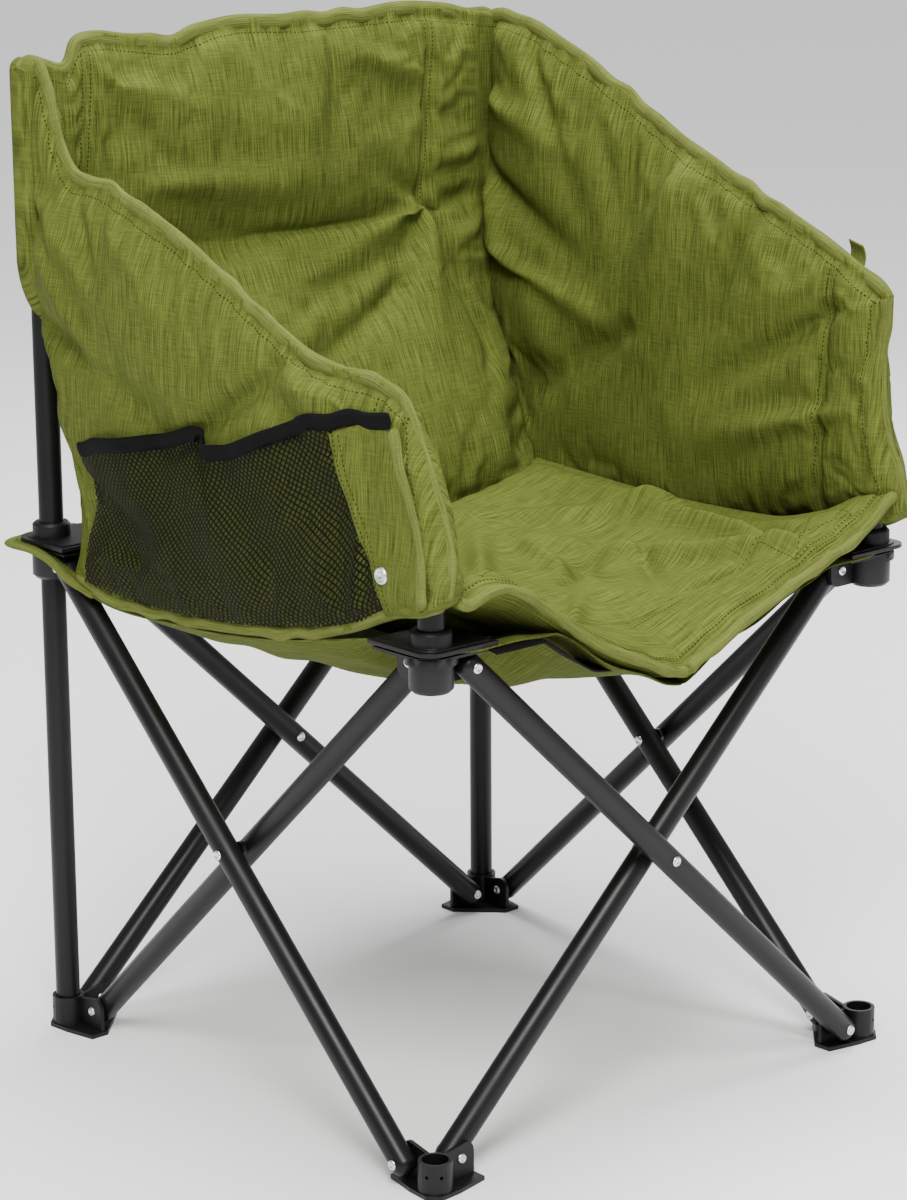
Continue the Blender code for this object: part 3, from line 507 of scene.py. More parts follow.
def puff(piece, free, slack, pressure, cap):
    """Cloth simulation of a filled piece. Its seams are held (free is 0 there, 1 in the open), slack cloth
    is let out by a share, pressure fills it, and no point ends further than cap from where it began."""
    mesh = piece.data
    start = np.empty(len(mesh.vertices) * 3)
    mesh.vertices.foreach_get("co", start)
    start = start.reshape(-1, 3)
    held = piece.vertex_groups.new(name="held")
    for number, share in enumerate(1 - free.ravel()):
        held.add([number], float(share), "REPLACE")
    cloth = piece.modifiers.new("cloth", "CLOTH")
    settings = cloth.settings
    settings.quality, settings.mass, settings.air_damping = 6, 0.25, 2.0
    settings.tension_stiffness = settings.compression_stiffness = 25
    settings.shear_stiffness, settings.bending_stiffness = 12, 0.35
    settings.use_pressure, settings.uniform_pressure_force = True, pressure
    settings.shrink_min = settings.shrink_max = -slack
    settings.vertex_group_mass, settings.pin_stiffness = "held", 1.0
    settings.effector_weights.gravity = 0
    cloth.collision_settings.use_collision = False
    cloth.point_cache.frame_start, cloth.point_cache.frame_end = 1, PUFF_FRAMES
    for number in range(1, PUFF_FRAMES + 1):
        bpy.context.scene.frame_set(number)
    graph = bpy.context.evaluated_depsgraph_get()
    done = piece.evaluated_get(graph).to_mesh()
    end = np.empty(len(done.vertices) * 3)
    done.vertices.foreach_get("co", end)
    piece.evaluated_get(graph).to_mesh_clear()
    piece.modifiers.remove(cloth)
    piece.vertex_groups.remove(held)
    bpy.context.scene.frame_set(1)
    moved = np.nan_to_num(end.reshape(-1, 3) - start)
    size = np.linalg.norm(moved, axis=1, keepdims=True)
    limited = moved * np.minimum(1, cap * np.tanh(size / cap) / np.maximum(size, 1e-9))
    mesh.vertices.foreach_set("co", (start + limited).astype(np.float32).ravel())
    mesh.update()


def smooth_out(piece):
    """One level of subdivision, rounding the grid's facets and its rim."""
    finer = piece.modifiers.new("finer", "SUBSURF")
    finer.levels = finer.render_levels = 1
    finer.use_limit_surface = False
    finer.uv_smooth = "PRESERVE_BOUNDARIES"


def keep_join(piece):
    """Keeps a half's flat side on the centre line square, so that two halves meet without a groove."""
    mesh = piece.data
    points = np.empty(len(mesh.vertices) * 3)
    mesh.vertices.foreach_get("co", points)
    on_line = np.abs(points.reshape(-1, 3)[:, 0]) < 1e-6
    ends = np.empty(len(mesh.edges) * 2, np.int32)
    mesh.edges.foreach_get("vertices", ends)
    joined = on_line[ends.reshape(-1, 2)].all(1)
    crease = mesh.attributes.new("crease_edge", "FLOAT", "EDGE")
    crease.data.foreach_set("value", joined.astype(np.float32))
    sharp = mesh.attributes.get("sharp_edge") or mesh.attributes.new("sharp_edge", "BOOLEAN", "EDGE")
    sharp.data.foreach_set("value", joined)


FOLD_KEEP, POST_AT = 0.365, 0.233


def sewn_to(piece, host):
    """A piece rides with the body of the cloth it belongs to, on a mesh of its own: a wall on its front hub,
    a seat half on its side of the seat, the back on the rear left foot and the rest on the front left hub."""
    kind, _, side = host.partition("_")
    if kind == "wall":
        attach(piece, f"hub_front_{side}")
        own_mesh(piece)
    elif kind == "seat":
        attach(piece, f"seat_{side}")
        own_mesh(piece)
    else:
        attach(piece, "foot_rear_left" if kind == "back" else "hub_front_left")
        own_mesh(piece)


def binding(name, host, path, inward, reach=0.0068, depth=0.0040, paint=tape, sides=14):
    """A tape folded over an edge of its host: an ellipse of half axes reach (along inward) and depth (across
    it) swept along the path, breathing a little, and closed to a point at both ends."""
    tangent = np.gradient(path, axis=0)
    tangent /= np.linalg.norm(tangent, axis=1, keepdims=True)
    inward = inward - (inward * tangent).sum(1, keepdims=True) * tangent
    inward /= np.linalg.norm(inward, axis=1, keepdims=True)
    across = np.cross(tangent, inward)
    travelled = np.concatenate([[0], np.cumsum(np.linalg.norm(np.diff(path, axis=0), axis=1))])
    ends = crown(np.minimum(travelled, travelled[-1] - travelled), 0.004)[:, None, None]
    swell = (1 + 0.12 * np.sin(travelled * 190 + 3 * np.sin(travelled * 41)))[:, None, None]
    sway = (0.0009 * np.sin(travelled * 61 + 1.7 * np.sin(travelled * 23)))[:, None] * across
    sway = sway + (0.0012 * np.sin(travelled * 83 + 2.3 * np.sin(travelled * 37)))[:, None] * inward
    angle = np.linspace(0, 2 * math.pi, sides, endpoint=False)
    ring = (np.cos(angle)[:, None] * inward[:, None] * reach
            + np.sin(angle)[:, None] * across[:, None] * depth * swell)
    points = (path + sway + inward * (reach - 0.0026))[:, None] + ring * ends
    uv = np.stack(np.broadcast_arrays(angle * 0.0045, travelled[:, None] * 0.999), -1)
    sewn_to(face_out(build(name, points, ring_faces(len(path), sides), paint, uv), weld=True), host)


def evened(path, inward, count, ease=5):
    """A path and its inward directions at even spacing, the directions eased round corners."""
    both = np.concatenate([path, inward / np.linalg.norm(inward, axis=1, keepdims=True)], 1)
    keep = np.concatenate([[True], np.linalg.norm(np.diff(path, axis=0), axis=1) > 1e-5])
    both = both[keep]
    at = np.concatenate([[0], np.cumsum(np.linalg.norm(np.diff(both[:, :3], axis=0), axis=1))])
    want = np.linspace(0, at[-1], count)
    out = np.stack([np.interp(want, at, column) for column in both.T], 1)
    for _ in range(ease):
        out[1:-1] = (out[:-2] + 2 * out[1:-1] + out[2:]) / 4
    return out[:, :3], out[:, 3:]


# Grains are wider than real thread, so that each dark row also carries the painted shade of its groove.
STITCH_HALF_LENGTH, STITCH_HALF_WIDTH, STITCH_RISE = 0.0018, 0.0010, 0.00062


def stitches(name, host, target, path, toward):
    """A row of raised stitches on a target piece: small eight sided grains, laid end to end along a path
    that is thrown on to the target along a direction. Its grains are wider and darker than real thread,
    as painted shade of the groove that the stitching pulls into the cloth."""
    path = np.array(path, float)
    at = np.concatenate([[0], np.cumsum(np.linalg.norm(np.diff(path, axis=0), axis=1))])
    want = np.arange(STITCH_HALF_LENGTH, at[-1], 2 * STITCH_HALF_LENGTH)
    line = np.stack([np.interp(want, at, column) for column in path.T], 1)
    heading = np.gradient(line, axis=0)
    toward = Vector(toward).normalized()
    surface = BVHTree.FromObject(target, bpy.context.evaluated_depsgraph_get())
    grains, faces = [], []
    star = np.array([(0, 2), (2, 1), (1, 3), (3, 0)])
    for place, direction in zip(line, heading):
        hit, normal, _, _ = surface.ray_cast(Vector(place) - toward * 0.08, toward, 0.16)
        if hit is None:
            continue
        normal = -normal if normal.dot(toward) > 0 else normal
        ahead = Vector(direction) - normal * normal.dot(Vector(direction))
        ahead.normalize()
        beside = ahead.cross(normal) * STITCH_HALF_WIDTH
        ahead *= STITCH_HALF_LENGTH
        low = hit - normal * 0.0002
        base = len(grains)
        grains += [low - ahead, low + ahead, low - beside, low + beside,
                   low + normal * STITCH_RISE, low - normal * 0.0003]
        for first, second in star:
            faces += [(base + first, base + second, base + 4), (base + second, base + first, base + 5)]
    points = np.array([list(grain) for grain in grains])
    sewn_to(face_out(build(name, points, np.array(faces), thread_and_groove_shade)), host)


WALL_MIDDLE, WALL_LEAN, WALL_HALF, WALL_FLARE = 0.2335, 0.010, 0.0165, 0.0125
SLEEVE_SEAM, SEAM_LEVEL, SEAM_SLANT = -0.190, 0.56, 0.05
STITCH_INSET = 0.0132    # edge stitches lie this far in from the edge
TWIN_ROWS = (-0.0037, 0.0037)    # a double seam's two rows, beside its line

wall_hem = [(-0.097, 0.403), (-0.034, 0.393), (0.066, 0.386), (0.145, 0.386), (0.184, 0.398)]
wall_edges = {
    "left": {
        "bottom": [(-0.266, 0.460), (-0.252, 0.451), (-0.224, 0.445), (-0.192, 0.433), (-0.145, 0.415)],
        "front": [(-0.266, 0.460), (-0.2675, 0.470), (-0.259, 0.492), (-0.247, 0.525), (-0.234, 0.556),
                  (-0.219, 0.584)],
        "top": [(-0.219, 0.584), (-0.200, 0.602), (-0.170, 0.608), (-0.143, 0.610), (-0.110, 0.616),
                (-0.086, 0.624), (-0.040, 0.648), (0.019, 0.678), (0.080, 0.702), (0.143, 0.719),
                (0.176, 0.721), (0.190, 0.734), (0.198, 0.762), (0.206, 0.790), (0.218, 0.808)],
        "rear": [(0.184, 0.398), (0.185, 0.450), (0.197, 0.510), (0.219, 0.562), (0.228, 0.606),
                 (0.227, 0.700), (0.228, 0.760), (0.218, 0.808)],
    },
    "right": {
        "bottom": [(-0.266, 0.452), (-0.252, 0.440), (-0.224, 0.434), (-0.180, 0.423), (-0.145, 0.414)],
        "front": [(-0.266, 0.452), (-0.261, 0.475), (-0.250, 0.505), (-0.245, 0.540), (-0.246, 0.593),
                  (-0.250, 0.622)],
        "top": [(-0.250, 0.622), (-0.215, 0.641), (-0.183, 0.657), (-0.151, 0.668), (-0.073, 0.699),
                (-0.015, 0.720), (0.068, 0.762), (0.129, 0.790), (0.179, 0.811), (0.224, 0.815)],
        "rear": [(0.184, 0.398), (0.186, 0.450), (0.197, 0.510), (0.219, 0.562), (0.228, 0.606),
                 (0.227, 0.700), (0.226, 0.760), (0.224, 0.815)],
    },
}
wall_folds = {
    "left": [(0.21, 0.70, 0.02, 0.56, 0.014, 0.007), (0.19, 0.60, -0.06, 0.50, 0.018, -0.006),
             (0.20, 0.66, 0.06, 0.50, 0.013, 0.006), (-0.08, 0.60, 0.05, 0.52, 0.012, -0.005),
             (0.10, 0.68, -0.08, 0.56, 0.014, 0.005), (-0.10, 0.50, 0.06, 0.44, 0.016, 0.004),
             (0.15, 0.69, 0.10, 0.60, 0.010, -0.005), (-0.15, 0.59, -0.02, 0.60, 0.010, 0.004)],
    "right": [(0.21, 0.68, 0.07, 0.60, 0.014, -0.009), (0.21, 0.66, 0.10, 0.50, 0.016, 0.009),
              (0.20, 0.74, 0.10, 0.70, 0.013, 0.007), (0.16, 0.78, 0.07, 0.62, 0.013, -0.006),
              (-0.02, 0.69, 0.02, 0.56, 0.018, 0.008), (0.03, 0.56, 0.12, 0.50, 0.016, -0.007),
              (-0.19, 0.60, -0.05, 0.52, 0.013, -0.005), (-0.19, 0.52, -0.04, 0.48, 0.013, 0.006),
              (0.20, 0.62, 0.00, 0.54, 0.010, 0.006), (-0.10, 0.67, -0.04, 0.52, 0.014, -0.006)],
}
WALL_ROWS, WALL_COLUMNS = 58, 110
walls = {}

for side, sign in (("left", -1), ("right", 1)):
    edges = wall_edges[side]
    bottom, top = through(edges["bottom"] + wall_hem, WALL_COLUMNS), through(edges["top"], WALL_COLUMNS)
    first, last = through(edges["front"], WALL_ROWS), through(edges["rear"], WALL_ROWS)
    flat = coons(bottom, top, first, last)
    y, z = flat[..., 0], flat[..., 1]
    height = (z - 0.44) / 0.36
    behind = step((y + 0.22) / 0.08)
    middle = WALL_MIDDLE + WALL_LEAN * height * behind
    middle += 0.004 * np.sin(y * 17 + 1.0) * np.clip(height, 0, 1) * behind
    middle += WALL_FLARE * np.exp(-lengths(flat, 0) / 0.024)
    sheet = np.stack([sign * middle, y, z], -1)
    gap = edge_distance(sheet)
    seam = np.abs(y - SLEEVE_SEAM + (z - SEAM_LEVEL) * SEAM_SLANT)
    pinch = 1 - 0.50 * np.exp(-((seam / 0.007) ** 2))
    half = EDGE_HALF + (filled(gap, WALL_HALF) - EDGE_HALF) * pinch
    ahead = y - flat[:, :1, 0]
    sleeve = crown(ahead, 0.012) * step((0.600 - z) / 0.05) * step((0.080 - ahead) / 0.05)
    half = np.maximum(half, 0.0005 + 0.0140 * sleeve)
    pucker = 0.0012 * np.sin(y * 210 + 3 * np.sin(y * 47)) * np.exp(-gap / 0.018) * np.clip(gap / 0.004, 0, 1)
    relief = 1.3 * folds(y, z, wall_folds[side]) * crown(gap, 0.05)
    outer, inner = sheet.copy(), sheet.copy()
    outer[..., 0] += sign * (half + pucker + relief * (0.9 if side == "left" else 0.4))
    inner[..., 0] -= sign * (half + pucker + relief * (0.3 if side == "left" else 1.0))
    wall = shell(f"wall_pad_{side}", outer, inner, np.stack([y, z], -1), cloth)
    free = np.clip(gap / 0.02, 0, 1) * np.clip(seam / 0.008, 0, 1)
    puff(wall, np.stack([free, free]), slack=0.05, pressure=2.0, cap=0.008)
    smooth_out(wall)
    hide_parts(f"wall_{side}")
    sewn_to(wall, f"wall_{side}")
    walls[side] = wall

    path = np.concatenate([sheet[:, 0], sheet[-1, 1:]])
    inward = np.concatenate([sheet[:, 3] - sheet[:, 0], (sheet[-4] - sheet[-1])[1:]])
    binding(f"wall_binding_{side}", f"wall_{side}", *evened(path, inward, 260))
    binding(f"wall_hem_{side}", f"wall_{side}", *evened(sheet[0, 2:], (sheet[3] - sheet[0])[2:], 150),
            0.0052, 0.0050)

    line, inner_way = evened(path[3:], inward[3:], 240)
    top_of_seam = 0.596 if side == "left" else 0.645
    for face, toward in (("outer", (-sign, 0, 0)), ("inner", (sign, 0, 0))):
        stitches(f"wall_{face}_edge_stitches_{side}_0", f"wall_{side}", wall,
                 line + inner_way * STITCH_INSET, toward)
        for number, shift in enumerate(TWIN_ROWS):
            seam_row = [(sign * WALL_MIDDLE, SLEEVE_SEAM + shift + (SEAM_LEVEL - z) * SEAM_SLANT, z)
                        for z in (top_of_seam, 0.462)]
            stitches(f"wall_{face}_sleeve_stitches_{side}_{number}", f"wall_{side}", wall, seam_row, toward)


# ---- Padded back ----
# The same padded cloth. Blind sleeves at its ends slide over the rear posts and stop short of the hubs;
# below them it narrows between the walls and leans in to the rear of the seat. Two double stitched seams
# run down from the top edge beside the sleeves.

BACK_ROWS, BACK_COLUMNS = 84, 108
BACK_HALF = 0.0165
back_top = [(-0.252, 0.796), (-0.243, 0.806), (-0.225, 0.800), (-0.208, 0.797), (-0.196, 0.818),
            (-0.176, 0.821), (-0.150, 0.818), (-0.100, 0.813), (-0.060, 0.823), (0.035, 0.822),
            (0.100, 0.823), (0.155, 0.824), (0.200, 0.819), (0.251, 0.812)]
back_side = [(0.224, 0.408), (0.228, 0.520), (0.232, 0.575), (0.240, 0.600), (0.2490, 0.622),
             (0.2515, 0.700), (0.252, 0.796)]
back_bottom = [(-0.224, 0.408), (0.0, 0.400), (0.224, 0.408)]
BACK_SEAMS = ((-0.190, 0.812, -0.199, 0.700), (0.169, 0.815, 0.152, 0.660))
back_folds = [(0.152, 0.655, 0.02, 0.600, 0.014, 0.009), (0.152, 0.655, 0.05, 0.520, 0.015, -0.008),
              (0.152, 0.650, 0.12, 0.500, 0.013, 0.010), (0.156, 0.650, 0.19, 0.520, 0.011, -0.008),
              (0.240, 0.660, 0.150, 0.655, 0.009, -0.008), (0.235, 0.640, 0.165, 0.600, 0.010, 0.009),
              (0.225, 0.700, 0.160, 0.690, 0.009, 0.006), (0.152, 0.655, 0.085, 0.700, 0.010, -0.005),
              (-0.200, 0.700, -0.060, 0.600, 0.016, -0.006), (-0.150, 0.780, 0.02, 0.740, 0.018, 0.004),
              (-0.120, 0.700, 0.080, 0.690, 0.016, 0.005), (0.060, 0.800, 0.040, 0.640, 0.014, -0.004),
              (-0.140, 0.640, 0.02, 0.520, 0.018, 0.006), (0.10, 0.58, -0.06, 0.50, 0.014, -0.006)]


def back_lean(z):
    """How far the back's middle comes forward of the posts: nothing above the seam, most at the seat."""
    return 0.090 * np.clip((0.645 - z) / 0.213, 0, 1.12) ** 1.15


right_side = np.array(back_side)
right_side[-1] = back_top[-1]
left_side = np.array(back_side) * (-1, 1)
flat = coons(through(back_bottom, BACK_COLUMNS), through(back_top, BACK_COLUMNS),
             through(left_side, BACK_ROWS), through(right_side, BACK_ROWS))
x, z = flat[..., 0], flat[..., 1]
sheet = np.stack([x, POST_AT - back_lean(z), z], -1)
gap = edge_distance(sheet)
seam = np.full_like(x, 1.0)
for x0, z0, x1, z1 in BACK_SEAMS:
    across = x - (x1 + (x0 - x1) * (z - z1) / (z0 - z1))
    seam = np.minimum(seam, np.hypot(np.maximum(np.abs(across) - 0.003, 0), np.maximum(z1 - z, 0)))
pinch = 1 - 0.42 * np.exp(-((seam / 0.007) ** 2))
half = EDGE_HALF + (filled(gap, BACK_HALF) - EDGE_HALF) * pinch
sleeve = np.where(z > 0.60, np.clip((np.abs(x) - 0.205) / 0.012, 0, 1), 0)
half = half * (1 - sleeve) + sleeve * np.maximum(half, 0.0128 * crown(0.2535 - np.abs(x), 0.012) + 0.002)
relief = 1.2 * folds(x, z, back_folds) * crown(gap, 0.05) * (1 - 0.8 * sleeve)
pucker = 0.0012 * np.sin(x * 190 + 2.5 * np.sin(x * 53)) * np.exp(-gap / 0.02) * np.clip(gap / 0.004, 0, 1)
tilt = np.gradient(sheet[..., 1], axis=0) / np.maximum(np.gradient(z, axis=0), 1e-6)
normal = np.stack([np.zeros_like(x), -1 / np.hypot(1, tilt), tilt / np.hypot(1, tilt)], -1)
inside = sheet + normal * (half + pucker + relief)[..., None]
outside = sheet - normal * (half + pucker * 0.6 + relief * 0.35)[..., None]
back = shell("back_pad", inside, outside, np.stack([x, lengths(sheet, 0)], -1), cloth)
free = np.clip(gap / 0.02, 0, 1) * np.clip(seam / 0.008, 0, 1) * (1 - sleeve)
puff(back, np.stack([free, free]), slack=0.05, pressure=2.0, cap=0.009)
smooth_out(back)
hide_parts("back_panel")
sewn_to(back, "back")

path, inward = evened(sheet[-1], sheet[-4] - sheet[-1], 220, 3)
binding("back_binding", "back", path, inward)
for face, toward in (("inner", (0, 1, 0)), ("outer", (0, -1, 0))):
    stitches(f"back_{face}_edge_stitches", "back", back, (path + inward * STITCH_INSET)[4:-4], toward)
    for number, (x0, z0, x1, z1) in enumerate(BACK_SEAMS):
        for pair, shift in enumerate(TWIN_ROWS):
            stitches(f"back_{face}_seam_{number}_{pair}", "back", back,
                     [(x0 + shift, 0.2, z0 - 0.006), (x1 + shift, 0.2, z1)], toward)


# ---- Seat pad ----
# A padded cloth that lies on the sling, sewn to the walls and the back along three sides. Its front edge
# is free, lifts over the two front hub caps and droops to a point in the middle, where the cloth folds
# when the chair is closed. It is made as two halves of one surface, one for each side of that fold.

SEAT_ROWS, SEAT_COLUMNS = 124, 74
SEAT_SIDE, SEAT_FRONT, SEAT_REAR, SEAT_HALF = 0.2140, -0.263, 0.136, 0.0150
seat_front = [(-0.236, 0.462), (-0.223, 0.453), (-0.203, 0.4585), (-0.186, 0.459), (-0.168, 0.452),
              (-0.135, 0.430), (-0.095, 0.402), (-0.054, 0.381), (-0.020, 0.367), (0.0, 0.363),
              (0.020, 0.373), (0.053, 0.389), (0.097, 0.403), (0.136, 0.418), (0.176, 0.433),
              (0.205, 0.447), (0.222, 0.460), (0.236, 0.466)]
seat_folds = [(0.14, -0.215, 0.06, 0.06, 0.013, 0.010), (0.16, -0.16, 0.19, 0.08, 0.013, 0.010),
              (0.03, -0.10, 0.16, -0.02, 0.014, -0.009), (-0.02, -0.05, 0.10, 0.09, 0.015, 0.009),
              (-0.16, -0.21, -0.02, -0.02, 0.015, 0.008), (0.10, -0.20, -0.04, -0.14, 0.009, -0.005),
              (-0.08, 0.02, -0.18, 0.10, 0.016, -0.008), (0.17, -0.20, 0.20, -0.10, 0.009, -0.009),
              (0.02, 0.09, 0.14, 0.02, 0.010, 0.006), (0.06, -0.02, 0.02, -0.16, 0.011, 0.006),
              (0.11, -0.10, 0.05, -0.19, 0.009, -0.006), (0.19, -0.05, 0.10, 0.05, 0.010, 0.007),
              (-0.05, -0.19, 0.05, -0.10, 0.010, 0.005)]


def seat_line(x):
    """Height of the free front edge."""
    return np.interp(x, *np.array(seat_front).T)


def seat_top(x, y):
    """Height of the pad's middle: the front edge's own line, easing into a shallow dish that is highest
    along the walls and rises a little to the rear."""
    share = np.clip((y - SEAT_FRONT) / (SEAT_REAR - SEAT_FRONT), 0, 1)
    side = np.abs(x) / SEAT_SIDE
    dish = 0.390 + 0.032 * side**2.2 + 0.012 * share - 0.010 * np.sin(share * math.pi)
    dish += 0.016 * side**4 * (1 - share)
    near = step(share / 0.30)
    return seat_line(x) * (1 - near) + dish * near


seam_line = SEAT_FRONT + 0.062
box = [(0.132, -0.246), (0.196, -0.246), (0.196, -0.204), (0.132, -0.204)]
for side, sign in (("left", -1), ("right", 1)):
    along = SEAT_FRONT + (SEAT_REAR - SEAT_FRONT) * np.linspace(0, 1, SEAT_ROWS) ** 1.08
    widest = SEAT_SIDE + 0.018 * step((-0.200 - along) / 0.050)
    x = np.linspace(0, 1, SEAT_COLUMNS) * sign * widest[:, None]
    y = np.broadcast_to(along[:, None], x.shape)
    z = seat_top(x, y)
    reach = np.minimum(widest[:, None] - np.abs(x), np.minimum(y - SEAT_FRONT, SEAT_REAR - y))
    seam = np.abs(y - seam_line)
    pinch = 1 - 0.42 * np.exp(-((seam / 0.0055) ** 2))
    half = EDGE_HALF + (filled(reach, SEAT_HALF) - EDGE_HALF) * pinch
    relief = 1.6 * folds(x, y, seat_folds) * crown(reach, 0.06)
    pucker = 0.0011 * np.sin(x * 200 + 3 * np.sin(x * 40))
    pucker = pucker * np.exp(-reach / 0.02) * np.clip(reach / 0.004, 0, 1)
    upper = np.stack([x, y, z + half + relief + pucker], -1)
    lower = np.stack([x, y, z - half * 0.9], -1)
    seat = shell(f"seat_pad_{side}_half", upper, lower, np.stack([y, x], -1), cloth)
    keep_join(seat)
    smooth_out(seat)
    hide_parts(f"seat_pad_{side}")
    sewn_to(seat, f"seat_{side}")
    edge = np.stack([x[0], y[0], z[0]], -1)
    inner_way = np.stack([x[3], y[3], z[3]], -1) - edge
    path, inward = evened(edge, inner_way, 90, 2)
    binding(f"seat_binding_{side}", f"seat_{side}", path, inward, 0.0048)
    rows = {"edge": path + inward * STITCH_INSET,
            "seam": np.stack([np.linspace(0, 0.196, 30) * sign, np.full(30, seam_line), np.full(30, 0.4)], 1)}
    for number, (first, second) in enumerate(((0, 1), (1, 2), (3, 0), (0, 2), (1, 3))):
        rows[f"box_{number}"] = [(sign * box[k][0], box[k][1], 0.4) for k in (first, second)]
    for label, line in rows.items():
        stitches(f"seat_stitches_{side}_{label}", f"seat_{side}", seat, line, (0, 0, -1))


# ---- Sling ----
# One heavy layer under the pad. Its corners are clamped between the hubs and their caps; the rear ones show
# as rounded noses with a bound edge, the front ones stop inside the cap. Its side edges run up to the
# walls' hems, the front edge tucks in under the seat's, and between them it hangs as a round belly.

SLING_ROWS, SLING_COLUMNS, SLING_HALF_THICKNESS, CLAMP_Z = 90, 44, 0.0009, 0.4166
sling_outline = [(-0.256, 0.2050, 0.4166), (-0.252, 0.2200, 0.4166), (-0.246, 0.2280, 0.4166),
                 (-0.232, 0.2330, 0.4166), (-0.205, 0.2360, 0.4166), (-0.175, 0.2440, 0.4160),
                 (-0.140, 0.2470, 0.4095), (-0.097, 0.2470, 0.4005), (-0.034, 0.2470, 0.3905),
                 (0.066, 0.2475, 0.3835), (0.145, 0.2490, 0.3845), (0.184, 0.2535, 0.3970),
                 (0.206, 0.2600, 0.4100), (0.224, 0.2650, 0.4160), (0.240, 0.2670, 0.4166),
                 (0.252, 0.2650, 0.4166), (0.260, 0.2590, 0.4166), (0.265, 0.2500, 0.4166),
                 (0.267, 0.2380, 0.4166)]
belly_cloth = cloth_paint("olive_sling_cloth", (0.110, 0.133, 0.025, 1), (0.030, 0.040, 0.005, 1))


def sling_surface(side):
    """The half's middle surface: at its outline it has the outline's height, and inside it falls by
    (1 - s^2.8) of the way to the belly's floor, with s the share of the half width and no fall at the
    clamped corners."""
    outline = through(sling_outline, 400)
    y = np.linspace(-0.256, 0.267, SLING_ROWS)
    wide = np.interp(y, outline[:, 0], outline[:, 1])[:, None]
    rim = np.interp(y, outline[:, 0], outline[:, 2])[:, None]
    share = np.linspace(0, 1, SLING_COLUMNS)[None, :] ** 0.9
    x = share * wide
    y = np.broadcast_to(y[:, None], x.shape)
    floor_z = 0.3360 + 0.022 * np.clip(y / 0.262, -1, 1) ** 2
    free = step(np.maximum(0.192 - x, 0.192 - np.abs(y)) / 0.055)
    bowl = rim - (rim - floor_z) * (1 - share**2.8) * free
    tuck = np.minimum(CLAMP_Z, seat_line(side * x) - 0.010)
    tuck = CLAMP_Z + (tuck - CLAMP_Z) * step((0.215 - x) / 0.04)
    near = step((y + 0.256) / 0.11)
    z = tuck * (1 - near) + bowl * near
    z = np.where(x > 0.20, bowl, z)
    wrinkle = 0.0016 * np.sin(x * 95 + y * 34 + 2 * np.sin(y * 25)) * free * crown(wide - x, 0.05)
    return np.stack([side * x, y, z + wrinkle], -1)


for side, sign in (("left", -1), ("right", 1)):
    sheet = sling_surface(sign)
    slope_x = np.gradient(sheet[..., 2], axis=1) / np.gradient(sheet[..., 0], axis=1)
    slope_y = np.gradient(sheet[..., 2], axis=0) / np.gradient(sheet[..., 1], axis=0)
    normal = np.stack([-slope_x, -slope_y, np.ones_like(slope_x)], -1)
    normal /= np.linalg.norm(normal, axis=2, keepdims=True)
    uv = np.stack([sheet[..., 0], sheet[..., 1]], -1)
    sling = shell(f"sling_{side}_half", sheet + normal * SLING_HALF_THICKNESS,
                  sheet - normal * SLING_HALF_THICKNESS, uv, belly_cloth)
    keep_join(sling)
    smooth_out(sling)
    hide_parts(f"sling_{side}")
    sewn_to(sling, f"seat_{side}")
    start = int(np.searchsorted(sheet[:, -1, 1], 0.150))
    path = np.concatenate([sheet[start:, -1], sheet[-1, -2::-1]])
    inward = np.concatenate([(sheet[:, -4] - sheet[:, -1])[start:], (sheet[-4] - sheet[-1])[-2::-1]])
    path, inward = evened(path, inward, 150, 4)
    binding(f"sling_binding_{side}", f"seat_{side}", path, inward, 0.0048, 0.0022)
    stitches(f"sling_stitches_{side}", f"seat_{side}", sling, path + inward * 0.0105, (0, 0, -1))


# ---- Front strap ----
# Black webbing under the seat's front edge between the two front hubs.

webbing = cloth_paint("black_webbing", (0.006, 0.006, 0.0062, 1), (0.002, 0.002, 0.002, 1), 0.8, 0.8)
x = np.linspace(-0.196, 0.196, 70)[None, :]
v = np.linspace(0, 1, 9)[:, None]
y = -0.262 + 0.025 * v + 0.026 * step((x + 0.12) / 0.08)
lower = 0.007 + 0.017 * step((-0.02 - x) / 0.10)
z = np.minimum(0.4135, seat_line(x) - lower) + 0.004 * v
z = np.broadcast_to(z, y.shape)
band = np.stack([x + 0 * v, y, z], -1)
strap = shell("front_strap_web", band + (0, 0, 0.0007), band - (0, 0, 0.0007),
              np.stack([y, x + 0 * v], -1), webbing)
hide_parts("front_strap")
sewn_to(strap, "strap")


# ---- Mesh pocket ----
# A slack pocket of open black mesh on the left wall's outer side, sewn in at the hem and under the sleeve's
# flap, with black woven tape along its mouth. The tape has a small pleat a third of the way along.


def net_paint():
    """Open net: threads along two crossed diagonals, and clear between them."""
    made, tree, shader = nodes_for("black_net")
    uv = node(tree, "UVMap", {"uv_map": "UVMap"}).outputs["UV"]
    wander = node(tree, "TexNoise", Vector=uv, Scale=14.0)
    shifted = node(tree, "MixRGB", {"blend_type": "ADD"}, _0=0.004, _1=uv, _2=wander.outputs["Color"])
    turned_uv = node(tree, "Mapping", Vector=shifted.outputs[0], Rotation=(0, 0, math.radians(38)))
    parts = node(tree, "SeparateXYZ", Vector=turned_uv.outputs[0])
    holes = []
    for axis in ("X", "Y"):
        wave = maths(tree, "SINE", maths(tree, "MULTIPLY", parts.outputs[axis], math.pi / 0.0040), 0.0)
        holes.append(maths(tree, "GREATER_THAN", maths(tree, "ABSOLUTE", wave, 0.0), 0.36))
    thread_mask = maths(tree, "SUBTRACT", 1.0, maths(tree, "MULTIPLY", holes[0], holes[1]))
    tree.links.new(thread_mask, shader.inputs["Alpha"])
    shader.inputs["Base Color"].default_value = (0.002, 0.002, 0.002, 1)
    shader.inputs["Roughness"].default_value = 0.7
    shader.inputs["Specular IOR Level"].default_value = 0.1
    return made


WALL_FACE = 0.2485


